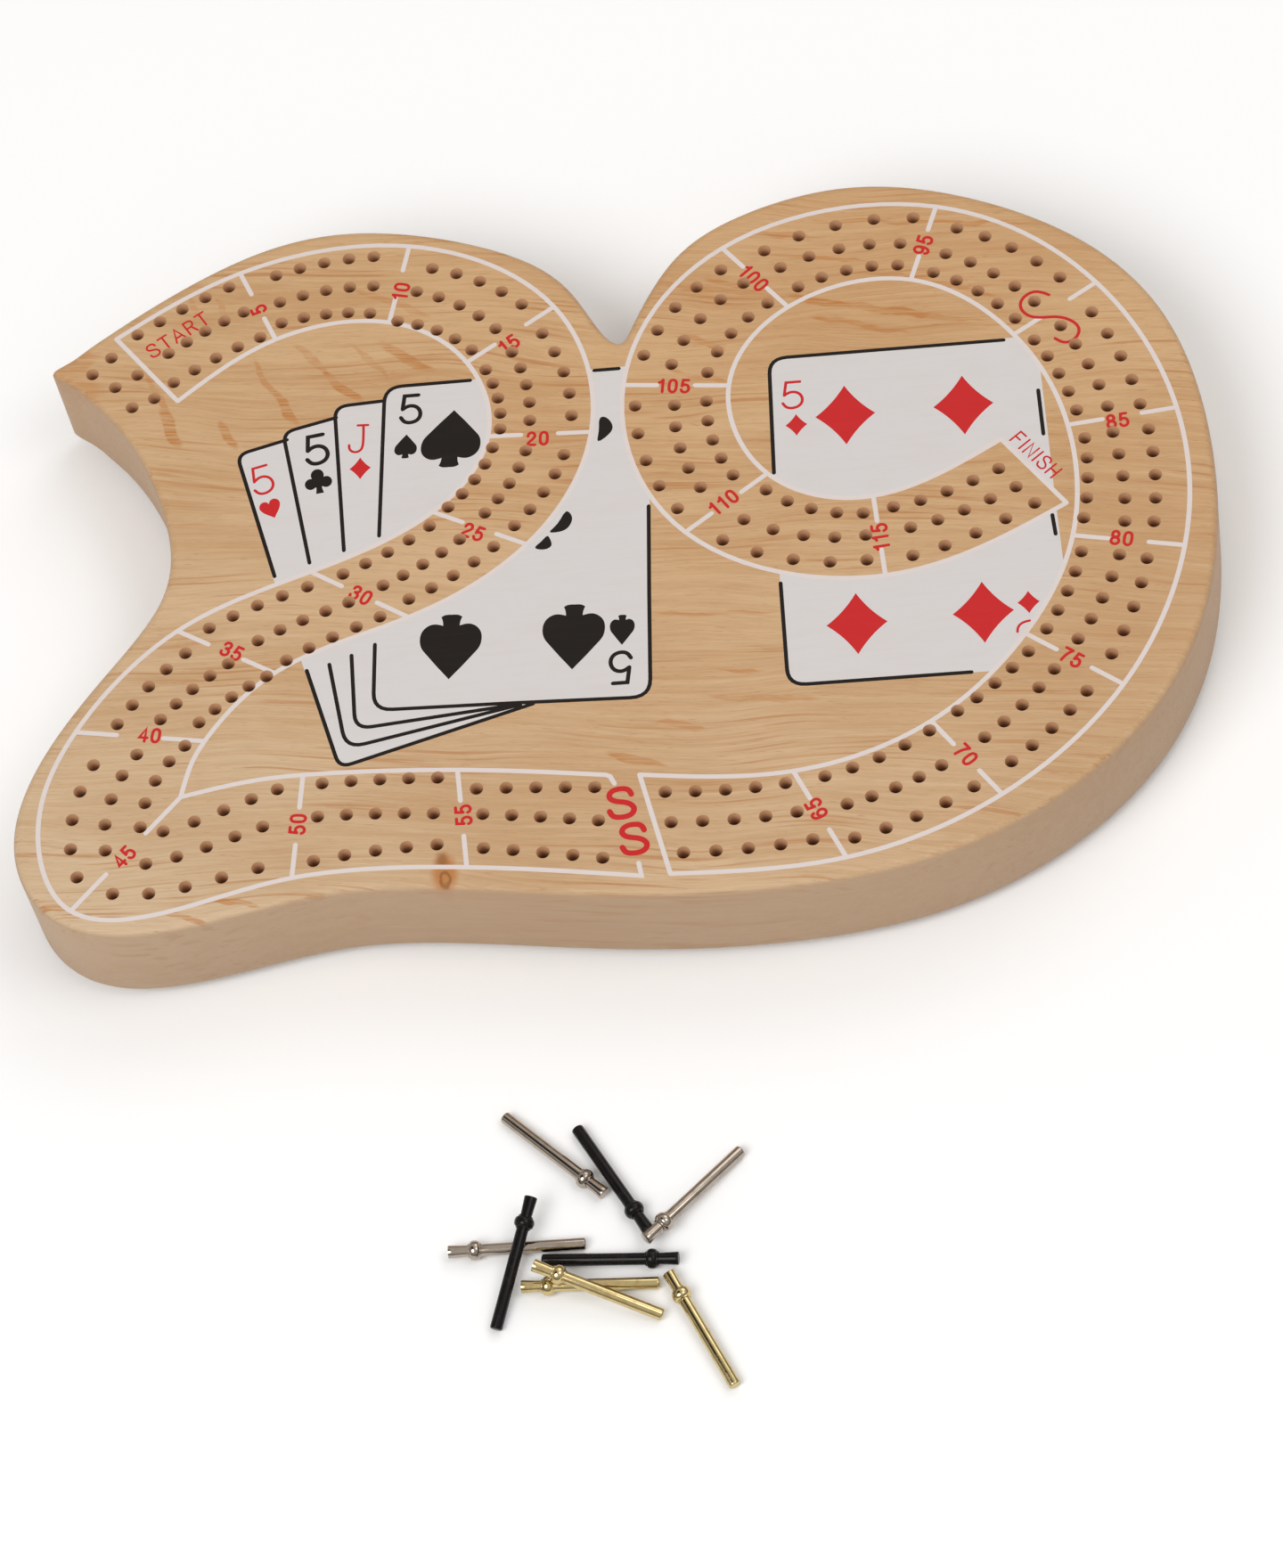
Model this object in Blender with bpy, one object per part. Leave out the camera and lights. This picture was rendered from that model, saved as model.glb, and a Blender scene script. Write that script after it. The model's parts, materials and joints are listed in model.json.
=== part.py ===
"""A cribbage board cut to the outline of the figures 2 and 9, with its nine turned metal pegs.

Metres, +Z up. The table is z = 0 and the origin lies under the middle of the whole set's box.
The board stands on five rubber feet. Three lanes of drilled holes run from the left tip of the
2, round both figures, to the inside of the 9. Underneath, a routed pocket keeps the pegs behind
a plate that swings about a screw. The pegs lie in a loose heap in front of the board.
"""

import math

import bpy
import numpy as np
from mathutils import Matrix, Vector

# The board
board_width = 0.2866
board_depth = 0.1922
board_thickness = 0.0286
board_centre_x = 0.0001
board_centre_y = 0.05477
top_round = 0.0020
bottom_round = 0.0010
running_gap = 0.0003
cut_overrun = 0.0010

# The drilled holes
hole_diameter = 0.003175
hole_depth = 0.0150
hole_sides = 6

# The pocket under the board and its swinging plate
pocket_x = 0.0180
pocket_y = -0.0280
pocket_length = 0.0380
pocket_width = 0.0260
pocket_depth = 0.0105
pocket_corner = 0.0060
plate_thickness = 0.0012
plate_lap = 0.0035
plate_corner = 0.0080
plate_end_margin = 0.0060
screw_shank_diameter = 0.0024
screw_head_diameter = 0.0052
screw_head_height = 0.0010
screw_length = 0.0090
screw_chamfer = 0.0004

# The rubber feet
foot_height = 0.0032
foot_diameter = 0.0100
foot_base_diameter = 0.0084
foot_round = 0.0006

# The turned pegs
peg_length = 0.03175
peg_tip_radius = 0.00148
peg_tip_chamfer = 0.00040
peg_neck_radius = 0.00143
peg_bead_place = 0.0256
peg_bead_radius = 0.00236
peg_bead_half_width = 0.00120
peg_ring_radius = 0.00172
peg_ring_width = 0.00035
peg_waist_radius = 0.00136
peg_head_radius = 0.00155
peg_head_chamfer = 0.00020

# The heap of pegs, measured from the middle of the board
heap_x = -0.0100
heap_y = -0.1680

# The board's outline, clockwise from the tip of the 2, as shares of its width and depth
outline_shares = (
    (-0.480, 0.314), (-0.419, 0.380), (-0.314, 0.467), (-0.216, 0.492), (-0.105, 0.453),
    (-0.038, 0.386), (-0.006, 0.309), (0.008, 0.293), (0.018, 0.316), (0.052, 0.406),
    (0.105, 0.465), (0.202, 0.500), (0.314, 0.467), (0.412, 0.380), (0.471, 0.259),
    (0.498, 0.080), (0.490, -0.117), (0.445, -0.272), (0.363, -0.392), (0.246, -0.473),
    (0.105, -0.499), (-0.035, -0.488), (-0.202, -0.462), (-0.297, -0.478), (-0.400, -0.500),
    (-0.468, -0.467), (-0.500, -0.373), (-0.482, -0.253), (-0.426, -0.129), (-0.379, -0.019),
    (-0.381, 0.090), (-0.420, 0.220),
)
outline_steps = 4

# Stations along the tracks: a point of the left border and one of the right border. The 2 has a
# sharp corner in its left border, and rows that carry no tick mark.
two_shares = (
    (-0.424, 0.357, -0.370, 0.257),
    (-0.318, 0.442, -0.286, 0.337),
    (-0.171, 0.462, -0.188, 0.349),
    (-0.047, 0.353, -0.122, 0.280),
    (-0.017, 0.163, -0.105, 0.168),
    (-0.073, 0.007, -0.152, 0.064),
    (-0.173, -0.084, -0.255, -0.009),
    (-0.284, -0.149, -0.366, -0.079),
    (-0.342, -0.238, -0.450, -0.212),
    (-0.354, -0.276, -0.479, -0.342),
    (-0.361, -0.313, -0.450, -0.459),
    (-0.313, -0.301, -0.366, -0.468),
    (-0.260, -0.295, -0.269, -0.435),
    (-0.133, -0.304, -0.126, -0.438),
    (-0.005, -0.329, 0.016, -0.467),
)
two_tick_rows = (0, 1, 2, 3, 4, 5, 6, 7, 8, 10, 12, 13, 14)
two_corner_row = 10
nine_shares = (
    (0.016, -0.329, 0.040, -0.467),
    (0.141, -0.339, 0.181, -0.462),
    (0.255, -0.285, 0.309, -0.391),
    (0.335, -0.173, 0.412, -0.253),
    (0.379, -0.040, 0.469, -0.066),
    (0.380, 0.119, 0.471, 0.132),
    (0.340, 0.257, 0.412, 0.324),
    (0.256, 0.350, 0.281, 0.457),
    (0.152, 0.324, 0.098, 0.420),
    (0.099, 0.215, 0.010, 0.228),
    (0.129, 0.082, 0.059, 0.007),
    (0.216, 0.038, 0.223, -0.076),
    (0.325, 0.106, 0.375, 0.007),
)
lane_steps = 12

# The three lanes of each group between two tick marks: the shares along the group at which the
# first and the last hole of a lane stand, then their shares of the way from the left border to
# the right one. The drilling is a little uneven, so no two groups are alike.
holes_per_lane = 5
two_lane_shares = (
    ((0.13, 0.88, 0.10, 0.13), (0.21, 0.88, 0.49, 0.51), (0.08, 0.89, 0.81, 0.90)),
    ((0.19, 0.80, 0.20, 0.16), (0.15, 0.82, 0.56, 0.55), (0.10, 0.82, 0.83, 0.91)),
    ((0.19, 0.86, 0.25, 0.21), (0.15, 0.89, 0.57, 0.57), (0.08, 0.92, 0.98, 0.89)),
    ((0.14, 0.87, 0.26, 0.21), (0.16, 0.87, 0.60, 0.61), (0.20, 0.93, 0.90, 0.89)),
    ((0.20, 0.89, 0.21, 0.24), (0.17, 0.85, 0.59, 0.58), (0.14, 0.90, 0.92, 0.92)),
    ((0.12, 0.85, 0.22, 0.19), (0.16, 0.83, 0.53, 0.48), (0.14, 0.89, 0.87, 0.81)),
    ((0.12, 0.87, 0.12, 0.05), (0.12, 0.81, 0.44, 0.42), (0.15, 0.88, 0.82, 0.83)),
    ((0.09, 0.80, 0.01, 0.14), (0.11, 0.82, 0.37, 0.44), (0.16, 0.91, 0.74, 0.73)),
    ((0.10, 0.91, 0.12, 0.34), (0.17, 0.87, 0.44, 0.60), (0.22, 0.89, 0.72, 0.83)),
    ((0.11, 0.82, 0.31, 0.12), (0.16, 0.79, 0.57, 0.45), (0.11, 0.83, 0.81, 0.84)),
    ((0.13, 0.87, 0.11, 0.09), (0.12, 0.83, 0.44, 0.46), (0.12, 0.84, 0.88, 0.78)),
    ((0.11, 0.86, 0.20, 0.13), (0.13, 0.83, 0.46, 0.47), (0.11, 0.80, 0.81, 0.85)),
)
nine_lane_shares = (
    ((0.13, 0.91, 0.18, 0.13), (0.10, 0.88, 0.49, 0.45), (0.11, 0.88, 0.80, 0.76)),
    ((0.17, 0.94, 0.13, 0.08), (0.19, 0.84, 0.47, 0.45), (0.11, 0.90, 0.83, 0.80)),
    ((0.19, 0.88, 0.07, 0.13), (0.18, 0.86, 0.44, 0.42), (0.18, 0.84, 0.79, 0.78)),
    ((0.11, 0.85, 0.14, 0.11), (0.14, 0.87, 0.43, 0.45), (0.14, 0.87, 0.76, 0.70)),
    ((0.15, 0.85, 0.07, 0.12), (0.14, 0.87, 0.44, 0.38), (0.15, 0.86, 0.70, 0.70)),
    ((0.11, 0.85, 0.12, 0.11), (0.09, 0.85, 0.40, 0.41), (0.06, 0.83, 0.69, 0.74)),
    ((0.10, 0.85, 0.13, 0.14), (0.12, 0.83, 0.40, 0.41), (0.15, 0.84, 0.78, 0.76)),
    ((0.12, 0.84, 0.17, 0.15), (0.13, 0.85, 0.46, 0.46), (0.09, 0.86, 0.81, 0.73)),
    ((0.10, 0.89, 0.16, 0.22), (0.09, 0.85, 0.51, 0.58), (0.11, 0.81, 0.79, 0.87)),
    ((0.15, 0.85, 0.20, 0.25), (0.16, 0.81, 0.50, 0.57), (0.14, 0.86, 0.87, 0.88)),
    ((0.12, 0.91, 0.16, 0.21), (0.17, 0.92, 0.56, 0.49), (0.17, 0.92, 0.87, 0.80)),
    ((0.12, 0.84, 0.20, 0.29), (0.19, 0.85, 0.50, 0.57), (0.16, 0.87, 0.84, 0.84)),
)
starting_hole_shares = (
    (-0.444, 0.305), (-0.428, 0.328), (-0.424, 0.283),
    (-0.405, 0.299), (-0.409, 0.251), (-0.390, 0.262),
)

# The feet, as shares of the board's width and depth
foot_shares = ((-0.255, 0.390), (0.215, 0.400), (-0.425, -0.370), (0.030, -0.410), (0.390, -0.240))

# The pegs' tips, as shares of a peg's length from the heap's middle, their headings, as shares
# of a full turn from +X, and the peg that each leans on
peg_shares = (
    ("silver_peg_1", (-0.690, 1.062), -0.1201, None),
    ("black_peg_1", (-0.159, 0.930), -0.1650, None),
    ("silver_peg_2", (1.039, 0.667), -0.3746, "black_peg_1"),
    ("silver_peg_3", (-0.105, 0.008), -0.4985, None),
    ("black_peg_2", (-0.769, -0.618), 0.2022, "silver_peg_3"),
    ("black_peg_3", (-0.430, -0.100), -0.0110, None),
    ("gold_peg_1", (0.423, -0.337), 0.4958, None),
    ("gold_peg_2", (0.440, -0.590), 0.4389, "gold_peg_1"),
    ("gold_peg_3", (0.945, -1.170), 0.3250, None),
)
peg_sides = 10
contact_stations = 48

plate_swing_steps = 6
round_sides = 16
corner_steps = 4

underside = running_gap + foot_height
board_top = underside + board_thickness


def clear_scene():
    """Empty the file of everything that it starts with."""
    for item in list(bpy.data.objects):
        bpy.data.objects.remove(item, do_unlink=True)


def finish(name, colour, roughness, metallic=0.0):
    """A plain surface finish."""
    material = bpy.data.materials.new(name)
    material.use_nodes = True
    shader = material.node_tree.nodes["Principled BSDF"]
    shader.inputs["Base Color"].default_value = (*colour, 1.0)
    shader.inputs["Roughness"].default_value = roughness
    shader.inputs["Metallic"].default_value = metallic
    material.diffuse_color = (*colour, 1.0)
    return material


def add_solid(name, verts, faces, material=None):
    """A mesh object from its corners and faces."""
    mesh = bpy.data.meshes.new(name)
    mesh.from_pydata([tuple(vert) for vert in verts], [], faces)
    mesh.update()
    solid = bpy.data.objects.new(name, mesh)
    bpy.context.scene.collection.objects.link(solid)
    if material is not None:
        mesh.materials.append(material)
    return solid


def make_cutter(solid):
    """Mark a solid as a tool that only cuts."""
    solid.hide_render = True
    solid.display_type = "WIRE"
    return solid


def cut(solid, cutter, shapes_may_meet=False):
    """Take a cutter's shape out of a solid. A cutter's own shapes may overlap each other if told."""
    modifier = solid.modifiers.new(cutter.name, "BOOLEAN")
    modifier.operation = "DIFFERENCE"
    modifier.solver = "EXACT"
    modifier.use_self = shapes_may_meet
    modifier.object = cutter


def soften(solid, angle):
    """Shade a round piece smooth, with its edges kept sharp."""
    solid.data.shade_smooth()
    solid.data.set_sharp_from_angle(angle=math.radians(angle))


def in_plan(shares):
    """Places on the board, from shares of its width and depth."""
    return np.array(shares, dtype=float) * (board_width, board_depth)


def smooth_curve(points, steps):
    """A natural cubic curve through points, with the same number of steps in every stretch."""
    points = np.array(points, dtype=float)
    spans = np.sqrt(np.linalg.norm(np.diff(points, axis=0), axis=1))
    slopes = np.diff(points, axis=0) / spans[:, None]
    count = len(points)
    system = np.eye(count)
    target = np.zeros_like(points)
    for row in range(1, count - 1):
        system[row, row - 1:row + 2] = (
            spans[row - 1], 2 * (spans[row - 1] + spans[row]), spans[row])
        target[row] = 3 * (slopes[row] - slopes[row - 1])
    bends = np.linalg.solve(system, target)
    pieces = []
    for row in range(count - 1):
        run = np.linspace(0, spans[row], steps, endpoint=False)[:, None]
        rise = slopes[row] - spans[row] * (2 * bends[row] + bends[row + 1]) / 3
        twist = (bends[row + 1] - bends[row]) / (3 * spans[row])
        pieces.append(points[row] + run * (rise + run * (bends[row] + run * twist)))
    return np.vstack(pieces + [points[-1:]])


def inset_loop(loop, distance):
    """A closed clockwise loop moved inwards by the same distance all round."""
    before = loop - np.roll(loop, 1, axis=0)
    after = np.roll(before, -1, axis=0)
    normals = []
    for edge in (before, after):
        edge = edge / np.linalg.norm(edge, axis=1)[:, None]
        normals.append(np.column_stack((edge[:, 1], -edge[:, 0])))
    mitre = normals[0] + normals[1]
    scale = distance / (1 + np.sum(normals[0] * normals[1], axis=1))
    return loop + mitre * scale[:, None]


def stack_loops(loops, heights):
    """Corners and outward faces of a solid whose sides join clockwise loops, bottom to top."""
    count = len(loops[0])
    verts = [(x, y, z) for loop, z in zip(loops, heights) for x, y in loop]
    faces = [tuple(range(count))]
    for level in range(len(loops) - 1):
        low = level * count
        high = low + count
        for first in range(count):
            second = (first + 1) % count
            faces.append((low + second, low + first, high + first, high + second))
    faces.append(tuple(reversed(range(len(verts) - count, len(verts)))))
    return verts, faces


def round_loop(radius, sides, centre=(0.0, 0.0)):
    """A clockwise ring of points on a circle."""
    turns = -2 * np.pi * np.arange(sides) / sides
    return np.column_stack((np.cos(turns), np.sin(turns))) * radius + centre


def rounded_rectangle(width, length, corner, centre):
    """A clockwise rectangle with arcs at its corners, width along X."""
    points = []
    for side_x, side_y, start in ((1, 1, 90), (1, -1, 0), (-1, -1, -90), (-1, 1, -180)):
        middle = (side_x * (width / 2 - corner), side_y * (length / 2 - corner))
        for step in range(corner_steps + 1):
            turn = math.radians(start - 90 * step / corner_steps)
            points.append((middle[0] + corner * math.cos(turn), middle[1] + corner * math.sin(turn)))
    return np.array(points) + centre


def turned(name, profile, sides, material):
    """A solid of revolution about its own Z axis, from (height, radius) pairs going up."""
    loops = [round_loop(radius, sides) for _, radius in profile]
    solid = add_solid(name, *stack_loops(loops, [height for height, _ in profile]), material)
    soften(solid, 40)
    return solid


def lane_borders(rows, corner_row=None):
    """The left and right borders through the stations, lane_steps to a row."""
    left = in_plan([row[0:2] for row in rows])
    right = smooth_curve(in_plan([row[2:4] for row in rows]), lane_steps)
    if corner_row is None:
        return smooth_curve(left, lane_steps), right
    before = smooth_curve(left[:corner_row + 1], lane_steps)
    after = smooth_curve(left[corner_row:], lane_steps)
    return np.vstack((before[:-1], after)), right


def along(curve, share):
    """The point at a share of a curve's length."""
    lengths = np.concatenate(([0.0], np.cumsum(np.linalg.norm(np.diff(curve, axis=0), axis=1))))
    place = share * lengths[-1]
    return np.array([np.interp(place, lengths, curve[:, axis]) for axis in (0, 1)])


def lane_holes(rows, groups, tick_rows, corner_row=None):
    """The holes of three lanes, evenly spaced between the first and the last of each group."""
    left, right = lane_borders(rows, corner_row)
    places = []
    for group, first, last in zip(groups, tick_rows[:-1], tick_rows[1:]):
        span = slice(first * lane_steps, last * lane_steps + 1)
        for lane_start, lane_end, across_start, across_end in group:
            for step in np.linspace(0, 1, holes_per_lane):
                share = lane_start + (lane_end - lane_start) * step
                inner = along(left[span], share)
                across = along(right[span], share) - inner
                places.append(inner + across * (across_start + (across_end - across_start) * step))
    return places


def all_holes():
    """Every hole: the starting holes, the lanes of the 2 and the lanes of the 9."""
    places = list(in_plan(starting_hole_shares))
    places += lane_holes(two_shares, two_lane_shares, two_tick_rows, two_corner_row)
    places += lane_holes(nine_shares, nine_lane_shares, range(len(nine_shares)))
    return places


def joined_prisms(name, loops, low, high):
    """Several upright prisms in one mesh."""
    verts = []
    faces = []
    for loop in loops:
        prism_verts, prism_faces = stack_loops([loop, loop], [low, high])
        faces += [tuple(len(verts) + corner for corner in face) for face in prism_faces]
        verts += prism_verts
    return add_solid(name, verts, faces)


def pocket_centre():
    """The middle of the pocket in plan."""
    return np.array((pocket_x, pocket_y))


def pivot_place():
    """The plate's pivot screw, past the back end of the pocket."""
    return pocket_centre() + (0.0, pocket_length / 2 + plate_end_margin)


def catch_place():
    """The plate's catch screw, past the front end of the pocket."""
    return pocket_centre() - (0.0, pocket_length / 2 + plate_end_margin)


def build_board(material):
    """The wooden board with its holes, its pocket and the screws' pilot holes."""
    outline = smooth_curve(in_plan(outline_shares + outline_shares[:1]), outline_steps)[:-1]
    half = math.sqrt(0.5)
    loops = (
        inset_loop(outline, bottom_round),
        outline,
        outline,
        inset_loop(outline, top_round * (1 - half)),
        inset_loop(outline, top_round),
    )
    heights = (
        underside,
        underside + bottom_round,
        board_top - top_round,
        board_top - top_round * (1 - half),
        board_top,
    )
    board = add_solid("board", *stack_loops(loops, heights), material)

    # The flats of each cut hole touch the drill's circle
    corner_radius = hole_diameter / 2 / math.cos(math.pi / hole_sides)
    loops = [round_loop(corner_radius, hole_sides, place) for place in all_holes()]
    holes = joined_prisms("peg_hole_cutter", loops, board_top - hole_depth, board_top + cut_overrun)
    cut(board, make_cutter(holes), shapes_may_meet=True)

    loop = rounded_rectangle(pocket_width, pocket_length, pocket_corner, pocket_centre())
    pocket = joined_prisms(
        "pocket_cutter", [loop], underside - cut_overrun, underside + pocket_depth)
    cut(board, make_cutter(pocket))

    pilot_radius = screw_shank_diameter / 2 + running_gap
    loops = [round_loop(pilot_radius, round_sides, place) for place in (pivot_place(), catch_place())]
    pilots = joined_prisms(
        "pilot_hole_cutter", loops, underside - cut_overrun,
        underside + screw_length + running_gap)
    cut(board, make_cutter(pilots))
    return board


def plate_levels():
    """The plate's lower and upper face."""
    high = underside - running_gap
    return high - plate_thickness, high


def build_plate(material):
    """The swinging plate, with a hole for its pivot and a slot that leaves the catch sideways."""
    low, high = plate_levels()
    pivot = pivot_place()
    reach = np.linalg.norm(catch_place() - pivot)
    middle = -np.array((0.0, reach / 2))
    length = reach + 2 * plate_end_margin
    width = pocket_width + 2 * plate_lap
    loop = rounded_rectangle(width, length, plate_corner, middle)
    plate = add_solid("storage_plate", *stack_loops([loop, loop], [low, high]), material)

    slot_half = screw_shank_diameter / 2 + 2 * running_gap
    bore_radius = screw_shank_diameter / 2 + running_gap
    bore = joined_prisms(
        "plate_pivot_cutter", [round_loop(bore_radius, round_sides)],
        low - cut_overrun, high + cut_overrun)

    # The slot follows the circle on which the catch passes as the plate swings open
    sweep = width / reach
    turns = np.linspace(0, -sweep, plate_swing_steps)
    outer = np.column_stack((np.sin(turns), -np.cos(turns))) * (reach + slot_half)
    inner = np.column_stack((np.sin(turns), -np.cos(turns))) * (reach - slot_half)
    nose_turns = np.linspace(math.pi / 2, -math.pi / 2, plate_swing_steps)[1:-1]
    nose = np.column_stack((np.cos(nose_turns), np.sin(nose_turns))) * slot_half - (0.0, reach)
    slot_loop = np.vstack((inner[::-1], nose, outer))
    slot = joined_prisms("plate_slot_cutter", [slot_loop], low - cut_overrun, high + cut_overrun)

    for piece in (plate, bore, slot):
        piece.location = (pivot[0], pivot[1], 0.0)
    cut(plate, make_cutter(bore))
    cut(plate, make_cutter(slot))
    return plate


def build_screw(name, place, material):
    """A round-headed wood screw, head down, under the plate."""
    head_top = plate_levels()[0] - running_gap
    head_bottom = head_top - screw_head_height
    shank_top = underside + screw_length
    profile = (
        (head_bottom, screw_head_diameter / 2 - screw_chamfer),
        (head_bottom + screw_chamfer, screw_head_diameter / 2),
        (head_top, screw_head_diameter / 2),
        (head_top, screw_shank_diameter / 2),
        (shank_top - screw_chamfer, screw_shank_diameter / 2),
        (shank_top, screw_shank_diameter / 2 - screw_chamfer),
    )
    screw = turned(name, profile, round_sides, material)
    screw.location = (place[0], place[1], 0.0)
    return screw


def build_feet(material):
    """One tapered rubber foot at each foot place."""
    profile = (
        (0.0, foot_base_diameter / 2 - foot_round),
        (foot_round, foot_base_diameter / 2),
        (foot_height, foot_diameter / 2),
    )
    for number, place in enumerate(in_plan(foot_shares), start=1):
        foot = turned(f"rubber_foot_{number}", profile, round_sides, material)
        foot.location = (place[0], place[1], 0.0)


def peg_profile():
    """A peg's (distance from its tip, radius) pairs: shaft, ring, bead, ring, waist and head."""
    bead_low = peg_bead_place - peg_bead_half_width
    bead_high = peg_bead_place + peg_bead_half_width
    swell = peg_ring_radius + (peg_bead_radius - peg_ring_radius) * math.sin(math.radians(60))
    step = peg_bead_half_width * math.cos(math.radians(60))
    return (
        (0.0, peg_tip_radius - peg_tip_chamfer),
        (peg_tip_chamfer, peg_tip_radius),
        (bead_low - peg_ring_width, peg_neck_radius),
        (bead_low - peg_ring_width, peg_ring_radius),
        (bead_low, peg_ring_radius),
        (peg_bead_place - step, swell),
        (peg_bead_place, peg_bead_radius),
        (peg_bead_place + step, swell),
        (bead_high, peg_ring_radius),
        (bead_high + peg_ring_width, peg_ring_radius),
        (bead_high + peg_ring_width, peg_waist_radius),
        ((bead_high + peg_length) / 2, (peg_waist_radius + peg_head_radius) / 2),
        (peg_length - peg_head_chamfer, peg_head_radius),
        (peg_length, peg_head_radius - peg_head_chamfer),
    )


def contact_chain(tip, heading, tilt):
    """Ball centres and radii that fill a lying peg, for finding where two pegs touch."""
    distances = np.linspace(0, peg_length, contact_stations)
    profile = peg_profile()
    radii = np.interp(distances, [place for place, _ in profile], [radius for _, radius in profile])
    direction = np.array((
        math.cos(tilt) * math.cos(heading), math.cos(tilt) * math.sin(heading), math.sin(tilt)))
    return np.array(tip) + distances[:, None] * direction, radii, distances


def flat_tilt():
    """The slope of a peg that rests on its tip and its bead."""
    return math.asin((peg_bead_radius - peg_tip_radius) / peg_bead_place)


def leaning_tilt(tip, heading, lower):
    """The slope at which a peg with its tip on the table clears the peg that it leans on."""
    centres, radii, distances = contact_chain(tip, heading, 0.0)
    low_centres, low_radii, _ = lower
    apart = np.linalg.norm(centres[:, None, 0:2] - low_centres[None, :, 0:2], axis=2)
    reach = radii[:, None] + low_radii[None, :] + running_gap
    rise = np.sqrt(np.maximum(reach ** 2 - apart ** 2, 0.0))
    needed = np.where(apart < reach, low_centres[None, :, 2] + rise - tip[2], 0.0)
    sines = needed[1:] / distances[1:, None]
    return math.asin(float(sines.max()))


def build_pegs(finishes):
    """The pegs where they lie, each with its origin at its tip."""
    lying = {}
    for name, shares, turn_share, lower in peg_shares:
        tip = (heap_x + shares[0] * peg_length, heap_y + shares[1] * peg_length, peg_tip_radius)
        heading = math.tau * turn_share
        tilt = flat_tilt() if lower is None else leaning_tilt(tip, heading, lying[lower])
        lying[name] = contact_chain(tip, heading, tilt)
        peg = turned(name, peg_profile(), peg_sides, finishes[name.split("_")[0]])
        axis = Vector((
            math.cos(tilt) * math.cos(heading), math.cos(tilt) * math.sin(heading),
            math.sin(tilt)))
        peg.matrix_world = Matrix.Translation(tip) @ axis.to_track_quat("Z", "Y").to_matrix().to_4x4()


def shift_to_origin():
    """Move the whole set so that the origin lies under the middle of its box."""
    for item in bpy.context.scene.objects:
        item.location += Vector((board_centre_x, board_centre_y, 0.0))


def main():
    """Build the set."""
    clear_scene()
    wood = finish("pale_hardwood", (0.58, 0.38, 0.21), 0.45)
    steel = finish("plated_steel", (0.62, 0.62, 0.60), 0.30, 1.0)
    rubber = finish("black_rubber", (0.03, 0.03, 0.03), 0.80)
    finishes = {
        "silver": finish("nickel_silver", (0.66, 0.61, 0.57), 0.20, 1.0),
        "black": finish("black_metal", (0.02, 0.02, 0.02), 0.30, 0.0),
        "gold": finish("polished_brass", (0.75, 0.56, 0.22), 0.20, 1.0),
    }
    build_board(wood)
    build_plate(steel)
    build_screw("plate_pivot_screw", pivot_place(), steel)
    build_screw("plate_catch_screw", catch_place(), steel)
    build_feet(rubber)
    build_pegs(finishes)
    shift_to_origin()


main()
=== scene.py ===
"""The looks of a cribbage board cut to the outline of the figures 2 and 9, with its turned pegs.

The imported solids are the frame. The wooden board, its screen-printed figures and lines, the pegs,
the plate with its screws and the rubber feet are made here at the places that the solids give.
Plan tables are in millimetres from the middle of the board, +X to the right and +Y to the back.
"""

from __future__ import annotations

import json
import logging
import math
from dataclasses import dataclass, field
from enum import Enum

import bmesh
import bpy
import numpy as np
from mathutils import Matrix, Vector
from mathutils.geometry import delaunay_2d_cdt

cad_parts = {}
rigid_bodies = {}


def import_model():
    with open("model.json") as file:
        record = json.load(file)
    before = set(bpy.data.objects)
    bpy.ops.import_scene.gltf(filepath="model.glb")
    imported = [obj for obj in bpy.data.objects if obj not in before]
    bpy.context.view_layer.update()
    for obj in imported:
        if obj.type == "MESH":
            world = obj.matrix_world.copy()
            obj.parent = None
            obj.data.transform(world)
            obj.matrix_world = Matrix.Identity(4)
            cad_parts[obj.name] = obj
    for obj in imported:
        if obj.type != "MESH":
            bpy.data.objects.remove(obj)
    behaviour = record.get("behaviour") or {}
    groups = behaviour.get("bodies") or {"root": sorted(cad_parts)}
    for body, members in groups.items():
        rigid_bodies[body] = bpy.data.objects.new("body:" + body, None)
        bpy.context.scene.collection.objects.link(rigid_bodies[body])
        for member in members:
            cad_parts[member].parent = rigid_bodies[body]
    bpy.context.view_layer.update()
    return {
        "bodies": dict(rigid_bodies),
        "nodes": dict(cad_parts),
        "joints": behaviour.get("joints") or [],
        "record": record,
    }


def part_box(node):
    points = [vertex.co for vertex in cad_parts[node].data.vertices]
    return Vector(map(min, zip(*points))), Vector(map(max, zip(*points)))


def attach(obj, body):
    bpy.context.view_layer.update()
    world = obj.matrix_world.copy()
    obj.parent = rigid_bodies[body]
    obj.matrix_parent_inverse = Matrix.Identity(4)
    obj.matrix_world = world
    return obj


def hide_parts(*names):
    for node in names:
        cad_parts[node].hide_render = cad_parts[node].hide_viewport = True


LOG = logging.getLogger("cribbage_board")
MM = 0.001
BOARD_CENTRE = np.array((0.1, 54.77))

Colour = tuple[float, float, float]
Plan = tuple[float, float]
Sheet = tuple[np.ndarray, np.ndarray]
Material = bpy.types.Material
Piece = bpy.types.Object
Port = bpy.types.NodeSocket

SAME_PLACE = 1e-6
TINY = 1e-9
JOIN_REACH = 5e-7
CORNER_STEPS = 6
END_STEPS = 4
LONGEST_MITRE = 1.6
CUT_REACH = 1e-4


class Socket(Enum):
    """Names of the shader sockets that the finishes set."""

    COLOUR = "Base Color"
    ROUGHNESS = "Roughness"
    METALLIC = "Metallic"
    SPECULAR = "Specular IOR Level"
    NORMAL = "Normal"


class Blend(Enum):
    """How a second colour joins a first."""

    MIX = "MIX"
    MULTIPLY = "MULTIPLY"


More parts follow.
